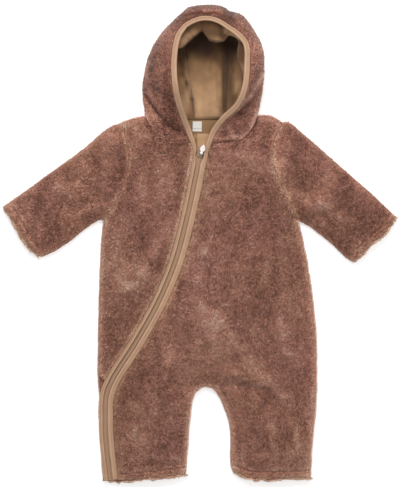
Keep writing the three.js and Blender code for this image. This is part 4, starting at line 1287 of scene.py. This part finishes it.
# On the sleeves: lighter beside the edge, partly lighter fibres and partly a painted sheen; lighter along
# the cuff's groove, painted light that offsets its shade
SLEEVE_TONES = [
    ("edge", 0, 4, 0.28), ("armhole", 0.5, 2.6, 0.3), ("hem", INSIDE_HEM, 3, 0.12), ("hem", 0, 7, 0.32),
]
SLEEVE_WARMTHS = [("armhole", 0, 4, 0.45), ("hem", 0, 8, 0.35), ("edge", 0, 4, 0.25)]
# On the hood: lighter beside the edge, partly lighter fibres and partly a painted sheen; a painted
# highlight on the hood's edge beside the neck seam
HOOD_TONES = [("edge", 0, 7, 0.2), ("neck", 3, 3, 0.2)]
HOOD_WARMTHS = [("edge", 0, 6, 0.2)]
MEAN_TONE = 0.36
LIGHTER = {"edge": 0.48, "fringe": 0.55, "zip_right": 0.3, "zip_left": 0.08, "sleeve": -0.08}


def beside_lines(distances, rows):
    """The sum of the changes that the rows make beside their lines."""
    return sum(amount * near(distances[line] - off, width) for line, off, width, amount in rows)


def look_of_body(roots):
    plan = roots[:, :2]
    at = {line: measure(plan) for line, measure in BODY_LINES.items()}
    open_edge = np.minimum(np.minimum(at["edge"], at["hem"]), at["zip"])
    tone = MEAN_TONE + mottled(roots) + streaks(plan, AMOUNT) + beside_lines(at, BODY_TONES)
    warm = 0.2 + 0.25 * noise(roots, 60, 2) + beside_lines(at, BODY_WARMTHS)
    push = sum(push_from(BODY_LINES[line], plan, reach, amount) for line, reach, amount in (
        ("edge", 4, 1.5), ("hem", 3, 0.6), ("zip", 3, -1.2)))
    return tone, warm, 1 - 0.5 * near(open_edge, 4), push


def look_of_sleeve(roots):
    plan = roots[:, :2]
    at = {line: measure(plan) for line, measure in SLEEVE_LINES.items()}
    tone = MEAN_TONE + LIGHTER["sleeve"] + mottled(roots) + streaks(plan, AMOUNT)
    warm = 0.2 + 0.25 * noise(roots, 60, 2) + beside_lines(at, SLEEVE_WARMTHS)
    short = 1 - 0.4 * near(np.minimum(at["edge"], at["hem"]), 4.5)
    return tone + beside_lines(at, SLEEVE_TONES), warm, short, push_from(cuff_distance, plan, 3, 0.6)


def look_of_hood(roots):
    """Painted shade: darker towards the wearer's right, at the crown and, on the upper side, beside the
    rim.
    """
    plan = roots[:, :2]
    at = {line: measure(plan) for line, measure in HOOD_LINES.items()}
    upper = smooth((roots[:, 2] - 14) / 8)
    # facing holds painted shade, which compensates for how the lamps light the hood
    facing = 0.13 * smooth((plan[:, 0] + 30) / 90) - 0.16 - 0.2 * smooth((plan[:, 1] - 296) / 16)
    facing -= 0.12 * near(at["rim"] - 4, 9) * upper
    tone = MEAN_TONE + facing + 1.1 * mottled(roots) + ridges(plan, HOOD_STREAKS)
    warm = 0.15 + 0.25 * noise(roots, 50, 2) + beside_lines(at, HOOD_WARMTHS)
    short = 1 - 0.45 * near(np.minimum(at["rim"], at["edge"] + 1), 4)
    return tone + beside_lines(at, HOOD_TONES), warm, short, push_from(rim_distance, plan, 3, 0.5)


def look_of_edge(roots):
    """Short locks on the outer edge of the cloth, lighter: partly lighter fibres where the pile stands up,
    partly a painted sheen.
    """
    tone = MEAN_TONE + LIGHTER["edge"] + mottled(roots)
    warm = 0.3 + 0.25 * noise(roots, 60, 2)
    return tone, warm, np.full(len(roots), 0.75), np.zeros((len(roots), 2))


def look_of_fringe(way):
    """Longer and lighter locks that hang over the end of a leg or sleeve."""
    def look(roots):
        tone = MEAN_TONE + LIGHTER["fringe"] + mottled(roots)
        warm = 0.8 + 0.25 * noise(roots, 40, 2)
        short = 1 + 0.7 * noise(roots, 3.2, 4) + 0.2 * noise(roots, 9, 5)
        push = np.tile(np.array(way, float) * 1.6, (len(roots), 1))
        return tone, warm, np.clip(short, 0.5, 1.5), push

    return look


def look_of_zip(roots):
    """Thin worn pile that laps over the edge of the binding, lighter on the wearer's right."""
    plan = roots[:, :2]
    middle = zip_at(even(90))[::-1]
    on_right = plan[:, 0] < np.interp(plan[:, 1], middle[:, 1], middle[:, 0])
    tone = MEAN_TONE + np.where(on_right, LIGHTER["zip_right"], LIGHTER["zip_left"]) + mottled(roots)
    warm = 0.8 + 0.2 * noise(roots, 20, 2)
    return tone, warm, np.full(len(roots), 0.8), push_from(zip_distance, plan, 30, -1.6)


def zip_fringe(side, start, end):
    """A narrow strip of the front's upper side along its edge beside the binding."""
    share = mix(start, end, even(260))
    sign = 1 if side == LEFT else -1
    plan = np.stack([
        binding_point(side, share, 1, BIND_PARTING + 0.25 + inset) for inset in (0, 1.1, 2.2, 3.3)], axis=1)
    under = front_under(plan)
    return lifted(plan, front_over(plan) - PILE_DEPTH * 0.6)[:, ::sign], lifted(plan, under)[:, ::sign]


def edge_strip(line, low, high):
    """A standing strip along an outline, for the locks on the edge of the cloth."""
    run = unit(np.gradient(line, axis=0))
    beside = np.stack([run[:, 1], -run[:, 0]], axis=-1)
    low, high = (np.broadcast_to(np.asarray(height, float), len(line)) for height in (low, high))
    heights = [low, (low + high) / 2, high]
    outer, inner = (
        np.stack([lifted(line + beside * shift, height) for height in heights], axis=1)
        for shift in (-0.5, -1.5))
    return outer, inner


# Every piece hangs from the garment's body and hides the solids that it replaces
def place(piece, slot, replaces=None):
    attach(piece, "garment")
    if replaces:
        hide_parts(*([replaces] if isinstance(replaces, str) else replaces))
    return piece


def cloth(name, layers, material, slot, replaces):
    """A flat piece of cloth, laid."""
    piece = place(wall(name, layers, material), slot, replaces)
    return piece


def fleece(name, layers, replaces, tufts):
    """A fleece piece: its ground, and its pile as pieces of their own."""
    piles = [place(pile(f"{name}_pile_{at}", **settings), "fleece") for at, settings in enumerate(tufts)]
    return cloth(name, layers, MATERIALS["ground"], "fleece", replaces)


def round_edges():
    """Standing strips along the outline, each run with the garment on its left."""
    lines = [
        (SIDE[RIGHT], 9.2), (LEG_SIDE[RIGHT], 5.4), (INSEAM[RIGHT][::-1], 9.2), (INSEAM[LEFT], 9.2),
        (LEG_SIDE[LEFT][::-1], 9.2), (SIDE[LEFT][::-1], 9.2),
        (SHOULDER[RIGHT][::-1], 9.6), (SHOULDER[LEFT], 9.6),
    ]
    return [edge_strip(curve(line)(even(90)), 1, high) for line, high in lines]


def hem_edges():
    """Strips on the ends of the legs: one on the back, and one on the front beside the zip's end."""
    strips = []
    for line in (LEG_HEM[RIGHT], LEG_HEM[LEFT][::-1]):
        plan = curve(line)(even(60))
        edge = lumpy(plan, hem_distance, HEM_WAY)
        strips.append(edge_strip(edge, 0.6, CLOTH - 0.4))
        front = plan[:, 0] > LEG_FRONT
        over = front_over(plan) - PILE_DEPTH + rolled(plan, hem_distance)
        strips.append(edge_strip(edge[front], front_under(plan)[front] + 0.3, over[front]))
    return strips


def cuff_strip(side):
    plan = curve(CUFF[side] if side == RIGHT else CUFF[side][::-1])(even(60))
    edge = sleeve_edge(plan)
    low = CLOTH * (1 - quarter(edge / UNDER_ROUND)) + 0.5
    high = CLOTH + (CLOTH - 1.4) * quarter(edge / EDGE_ROUND) + AIR * smooth((edge - CLOTH) / AIR_REACH)
    return edge_strip(lumpy(plan, cuff_distance, CUFF_WAY[side]), low, high)


FRINGE_STAND = 34


def build_body():
    back = back_layers()
    fleece("suit_back", back, "back_panel", [
        {"grids": round_edges(), "count": 17000, "seed": 11, "look": look_of_edge, "sides_share": 1.0,
         "stand": 55},
        {"grids": hem_edges(), "count": 9000, "seed": 16, "look": look_of_fringe(HEM_WAY),
         "sides_share": 1.0, "stand": FRINGE_STAND},
    ])
    body, leg_right, leg_left = front_layers(front_left_grids())
    fleece("front_left_cloth", [body, leg_right, leg_left], "front_left", [
        {"grids": [body], "count": 55000, "seed": 12, "look": look_of_body},
        {"grids": [leg_right, leg_left], "count": 33000, "seed": 13, "look": look_of_body},
    ])
    ends = ((LEFT, 0.999), (RIGHT, RIGHT_TIP - 0.004))
    fringes = [zip_fringe(side, zip_share(BIND_TOP[side]) + 0.004, end) for side, end in ends]
    place(pile("zip_fringe_pile", fringes, 6000, 17, look_of_zip, length=3.8), "fleece")
    right = front_layers(front_right_grids())
    fleece("front_right_cloth", right, "front_right", [
        {"grids": right, "count": 28000, "seed": 14, "look": look_of_body},
    ])


def build_sleeves():
    for seed, side in enumerate(SIDES, 21):
        layers = sleeve_layers(side)
        fleece(f"sleeve_{side}_cloth", layers, f"sleeve_{side}", [
            {"grids": layers, "count": 25000, "seed": seed, "look": look_of_sleeve, "sides_share": 0.8},
            {"grids": [cuff_strip(side)], "count": 3600, "seed": seed + 5,
             "look": look_of_fringe(CUFF_WAY[side]), "sides_share": 1.0, "stand": FRINGE_STAND},
        ])


def hood_jersey(name, grid, replaces):
    """A panel of the hood's lining, with painted shade in its hollows. grid gives its shape at a depth."""
    layers = [(grid(CLOTH + SEAM), grid(CLOTH + SEAM + LINING))]
    colour_at(cloth(name, layers, MATERIALS["jersey"], "jersey", replaces), deep_shade)


def build_hood():
    for seed, side in enumerate(SIDES, 31):
        u, v = np.meshgrid(HOOD_U, HOOD_V, indexing="ij")
        inner = hood_side_grid(side, CLOTH)
        outer = matted(hood_side_grid(side, ground_depth), inner, u, v)
        fleece(f"hood_{side}_cloth", [(outer, inner)], f"hood_{side}", [
            {"grids": [(outer, inner)], "count": 21000, "seed": seed, "look": look_of_hood, "along": 1,
             "sides_share": 1.0},
        ])
        hood_jersey(
            f"hood_{side}_jersey", partial(lining_side_grid, side), f"hood_lining_{side}")
    inner = centre_grid(CLOTH)
    outer = matted(centre_grid(ground_depth), inner, CENTRE_U[:, None], CENTRE_V[:, None])
    fleece("hood_centre_cloth", [(outer, inner)], "hood_centre", [
        {"grids": [(outer, inner)], "count": 12000, "seed": 33, "look": look_of_hood, "sides_share": 1.0},
    ])
    hood_jersey(
        "hood_centre_jersey", lining_centre_grid, "hood_lining_centre")


# Bindings: a folded strip with two ridges and a sewn groove between them
BIND_PROFILE = np.array([
    (0.0, 0.2), (0.03, 0.62), (0.12, 0.93), (0.24, 1.0), (0.36, 0.9), (0.45, 0.68),
    (0.52, 0.66), (0.6, 0.8), (0.74, 0.88), (0.88, 0.74), (0.97, 0.42), (1.0, 0.1),
])
# Where the strip passes from the fronts to the hood: a share of the rim, and north on the fronts
HOOD_JOIN = 0.035
FRONT_JOIN = {RIGHT: 132, LEFT: 128}
HOOD_BIND = {"low": 2.2, "rise": 3, "narrower": 1.3, "narrow_from": 290, "narrow_over": 22}
CHAIN_UNDER = TAPE_THICK + SEAM


def zip_base(share):
    return front_under(zip_at(share))


def binding_rows():
    """The strip that binds the opening, from the right hem over the hood to the left hem.

    Each row has the edge beside the fleece, the edge beside the opening, the underside, the height of the
    upper side at its edges and how far it rises."""
    path = rim_path()
    run = unit(np.gradient(path[:, :2], axis=0))
    inward = np.stack([run[:, 1], -run[:, 0]], axis=-1)
    along = length_shares(path)
    kept = (along > HOOD_JOIN) & (along < 1 - HOOD_JOIN)
    beside = path[:, :2] + inward * 2 * SEAM
    crown = path[:, 2]
    narrow = smooth((path[:, 1] - HOOD_BIND["narrow_from"]) / HOOD_BIND["narrow_over"])
    width = HOOD["bind_width"] - HOOD_BIND["narrower"] * narrow
    hood = np.column_stack([
        beside, beside + inward * width[:, None], crown - HOOD["bind_thick"], crown - HOOD_BIND["low"],
        np.full(len(path), HOOD_BIND["rise"])])
    fronts = {}
    for side in SIDES:
        share = mix(zip_share(FRONT_JOIN[side]), 1, even(90))
        base = zip_base(share) + CHAIN_UNDER
        far, close = (binding_point(side, share, across) for across in (1, 0))
        fronts[side] = np.column_stack([far, close, base, base, np.full(len(share), BIND_THICK)])
    return np.vstack([fronts[RIGHT][::-1], hood[kept], fronts[LEFT]])


def strip_parts(rows):
    return rows[:, :2], rows[:, 2:4], rows[:, 4], rows[:, 5], rows[:, 6]


def build_bindings():
    rows = curve(binding_rows(), 6)
    far, close, under, low, rise = strip_parts(rows(even(int(rows.length / BIND_STEP))))
    outer, inner, tones = [], [], []
    for across, level in BIND_PROFILE:
        plan = mix(close, far, across)
        pucker = 0.05 * noise(lifted(plan, low), 4, 2) + 0.07 * noise(lifted(plan, low), 17, 3)
        outer.append(lifted(plan, low + rise * (level + pucker * (level > 0.5))))
        inner.append(lifted(plan, under))
        # Painted shade: the outer band darker than the lit inner ridge, and painted light on the outer
        # flank where its slope and the pile shade it
        tone = 1 - smooth((across - 0.3) / 0.25) + 0.9 * smooth((across - 0.78) / 0.15)
        tones.append(np.full(len(plan), tone))
    layers = [(np.stack(outer, axis=1), np.stack(inner, axis=1))]
    piece = cloth(
        "edge_binding", layers, MATERIALS["binding"], "binding",
        ["binding_right", "binding_left", "hood_binding"])
    colour_across(piece, np.stack(outer + inner, axis=1), np.stack(tones + tones, axis=1))
    far, close, under, low, rise = strip_parts(rows(even(int(rows.length / STITCH["pitch"]))))
    path = lifted(mix(close, far, STITCH["across"]), low + rise * STITCH["level"] + STITCH["lift"])
    starts, ends = (mix(path[:-1], path[1:], share) for share in (STITCH["gap"] / 2, 1 - STITCH["gap"] / 2))
    place(rods("binding_stitches", starts, ends, STITCH["radius"], MATERIALS["thread"], 4), "binding")


# Share of a rod's length and of its radius
ROD_PROFILE = [(0.06, 0.72), (0.3, 1.0), (0.7, 1.0), (0.94, 0.72)]


def rods(name, starts, ends, radius, material, sides):
    """Short rounded rods from start to end, joined in one mesh."""
    along = unit(ends - starts)
    across = unit(np.cross(along, np.array([0, 0, 1.0])))[:, None]
    over = np.cross(across[:, 0], along)[:, None]
    turns = np.arange(sides) * 2 * math.pi / sides
    around = across * np.cos(turns)[None, :, None] + over * np.sin(turns)[None, :, None]
    rings = [mix(starts, ends, level)[:, None] + radius * size * around for level, size in ROD_PROFILE]
    points = np.concatenate([starts[:, None], *rings, ends[:, None]], axis=1)
    each = points.shape[1]
    at = np.arange(sides)
    after = (at + 1) % sides
    quads = [
        np.stack([first + at, first + after, first + sides + after, first + sides + at], axis=-1)
        for first in 1 + sides * np.arange(len(ROD_PROFILE) - 1)]
    last = 1 + (len(ROD_PROFILE) - 1) * sides
    caps = [
        np.stack([np.zeros(sides, int), 1 + after, 1 + at], axis=-1),
        np.stack([np.full(sides, each - 1), last + at, last + after], axis=-1)]
    shift = each * np.arange(len(starts))[:, None, None]
    faces = [
        (np.vstack(quads)[None] + shift).reshape(-1, 4),
        (np.vstack(caps)[None] + shift).reshape(-1, 3)]
    return make_mesh(name, points.reshape(-1, 3), faces, material)


def build_zip():
    start = float(zip_share(CHAIN_TOP + 1))
    shares = mix(start, 1, even(200))
    for side in SIDES:
        sign = -1 if side == RIGHT else 1
        near = zip_point(shares, np.full(len(shares), sign * SEAM / 2))
        far = binding_point(side, shares, 1)
        base = zip_base(shares)
        grids = [mix(near, far, across) for across in even(6)]
        outer = np.stack([lifted(plan, base + TAPE_THICK) for plan in grids], axis=1)
        inner = np.stack([lifted(plan, base) for plan in grids], axis=1)
        cloth(
            f"zip_cloth_{side}", [(outer, inner)], MATERIALS["tape"], "zip_tape", f"zip_tape_{side}")
    count = int(zip_at.length * (1 - start) / TOOTH["pitch"])
    teeth = []
    for sign in (-1, 1):
        share = mix(float(zip_share(CHAIN_TOP)), 1, (np.arange(count) + 0.25 + 0.25 * sign) / count)
        height = zip_base(share) + CHAIN_UNDER + TOOTH["lift"]
        outside = lifted(zip_point(share - 0.0008, np.full(count, sign * TOOTH["reach"])), height + 0.4)
        inside = lifted(zip_point(share + 0.0006, np.full(count, -sign * TOOTH["hook"])), height - 0.3)
        teeth.append((outside, inside))
    starts, ends = (np.vstack(run) for run in zip(*teeth))
    place(rods("zip_teeth", starts, ends, TOOTH["radius"], MATERIALS["coil"], 5), "zip_coil", "zip_chain")


build_body()
build_sleeves()
build_hood()
build_bindings()
build_zip()


# Neck opening: the lining of the back, a blank label and the guard behind the zip's top
def slab(name, outline, under, thick, material, dome=0.0):
    """A thin piece with an outline of points, and softly rounded edges."""
    line = resampled(np.array([*outline, outline[0]], float), 60)[:-1]
    line = (np.roll(line, 1, axis=0) + 2 * line + np.roll(line, -1, axis=0)) / 4
    centre = line.mean(axis=0)
    count = len(line)

    def loop(scale, height):
        return lifted(centre + (line - centre) * scale, np.full(count, float(height)))

    bottom = [loop(scale, under) for scale in (0.25, 0.6, 0.985)]
    top = [loop(scale, under + thick + dome * (1 - scale**2)) for scale in (0.97, 0.75, 0.5, 0.25)]
    loops = [*bottom, loop(1, under + thick / 2), *top]
    at = np.arange(count)
    after = (at + 1) % count
    quads = [
        first + np.stack([at, after, after + count, at + count], axis=-1)
        for first in count * np.arange(len(loops) - 1)]
    points = np.vstack([*loops, [(*centre, under)], [(*centre, under + thick + dome)]])
    last = (len(loops) - 1) * count
    low = np.stack([np.full(count, len(points) - 2), after, at], axis=-1)
    high = np.stack([np.full(count, len(points) - 1), last + at, last + after], axis=-1)
    piece = make_mesh(name, points, [np.vstack(quads), np.vstack([low, high])], material)
    turn_outwards(piece)
    return piece


NECK_LINING = [(-40, 118), (50, 118), (56, 150), (54, 175.9), (-42, 175.9), (-46, 150)]
GUARD = [(-9, 113), (3, 111.6), (15, 113), (18, 140), (15, 151), (12, 153), (-6, 153), (-8.6, 151)]
GUARD_THICK = 0.9
LABEL = {
    "low": [(-10.5, 156), (2.5, 155.7)], "high": [(-10.2, 170.1), (2.7, 170)], "thick": 0.45,
    "middle": -4, "curl": 0.02, "fold": 159.6, "step": 0.7,
}


def neck_shade(places):
    """Dark under the hood's hem."""
    return 0.56 - 0.44 * near(places[:, 1] - 173, 1.8)


def guard_shade(places):
    """Painted shade in the crease along the sewn edge of the upper part."""
    return 1 - 0.62 * near(places[:, 0] + 5.2, 0.9) * smooth((places[:, 1] - 130) / 6)


def build_neck():
    jersey = MATERIALS["jersey"]
    piece = place(
        slab("neck_jersey", NECK_LINING, CLOTH + SEAM, LINING, jersey), "jersey", "back_neck_lining")
    colour_at(piece, neck_shade)
    level = CLOTH + SEAM + LINING + SEAM
    piece = place(
        slab("zip_guard_cloth", GUARD, level, GUARD_THICK, jersey, dome=0.4), "jersey", "zip_guard")
    colour_at(piece, guard_shade)
    steps = even(36)
    low, high = (mix(*np.array(LABEL[end]), steps[:, None])[:, None] for end in ("low", "high"))
    plan = mix(low, high, steps[None, :, None])
    curl = LABEL["curl"] * (plan[..., 0] - LABEL["middle"]) ** 2
    under = level + curl + LABEL["step"] * smooth((plan[..., 1] - LABEL["fold"]) / 0.5)
    layers = [(lifted(plan, under + LABEL["thick"]), lifted(plan, under))]
    cloth(
        "neck_label_cloth", layers, MATERIALS["label"], "label", "neck_label")


build_neck()

# The slider and pull keep their solids, with their own finish
for name, key in (("zip_slider", "slider"), ("zip_pull", "pull")):
    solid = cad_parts[name]
    solid.data.materials.clear()
    solid.data.materials.append(MATERIALS[key])


# Stage, light and camera
FLOOR = 3000  # half its width
LIGHTS = {
    "key_light": {"spot": (-300, 1750, 2000), "size": 1200, "power": 58},
    "fill_light": {"spot": (1100, 100, 2000), "size": 1600, "power": 9},
}
WORLD_STRENGTH = 0.6
CAMERA_NORTH = -0.7


def build_stage():
    corners = [(-FLOOR, -FLOOR, 0), (FLOOR, -FLOOR, 0), (FLOOR, FLOOR, 0), (-FLOOR, FLOOR, 0)]
    floor = make_mesh("studio_floor", corners, [np.array([(0, 1, 2, 3)])], MATERIALS["floor"])
    world = bpy.data.worlds.new("studio_world")
    world.use_nodes = True
    background = world.node_tree.nodes["Background"]
    background.inputs["Color"].default_value = (1, 1, 1, 1)
    background.inputs["Strength"].default_value = WORLD_STRENGTH
    scene.world = world
    for name, settings in LIGHTS.items():
        light = bpy.data.lights.new(name, "AREA")
        light.size = settings["size"] * MM
        light.energy = settings["power"]
        lamp = bpy.data.objects.new(name, light)
        lamp.location = np.array(settings["spot"]) * MM
        lamp.rotation_euler = (-lamp.location).to_track_quat("-Z", "Y").to_euler()
        scene.collection.objects.link(lamp)


def build_camera():
    camera = bpy.data.cameras.new("photo_camera")
    camera.sensor_fit = "HORIZONTAL"
    camera.sensor_width = SENSOR
    camera.lens = SENSOR * CAMERA_HEIGHT / (PHOTO["width"] * PHOTO["mm_per_px"])
    camera.clip_end = 20
    holder = bpy.data.objects.new("photo_camera", camera)
    holder.location = (0, CAMERA_NORTH * MM, CAMERA_HEIGHT * MM)
    scene.collection.objects.link(holder)
    scene.camera = holder
    scene.view_settings.view_transform = "Standard"


build_stage()
build_camera()
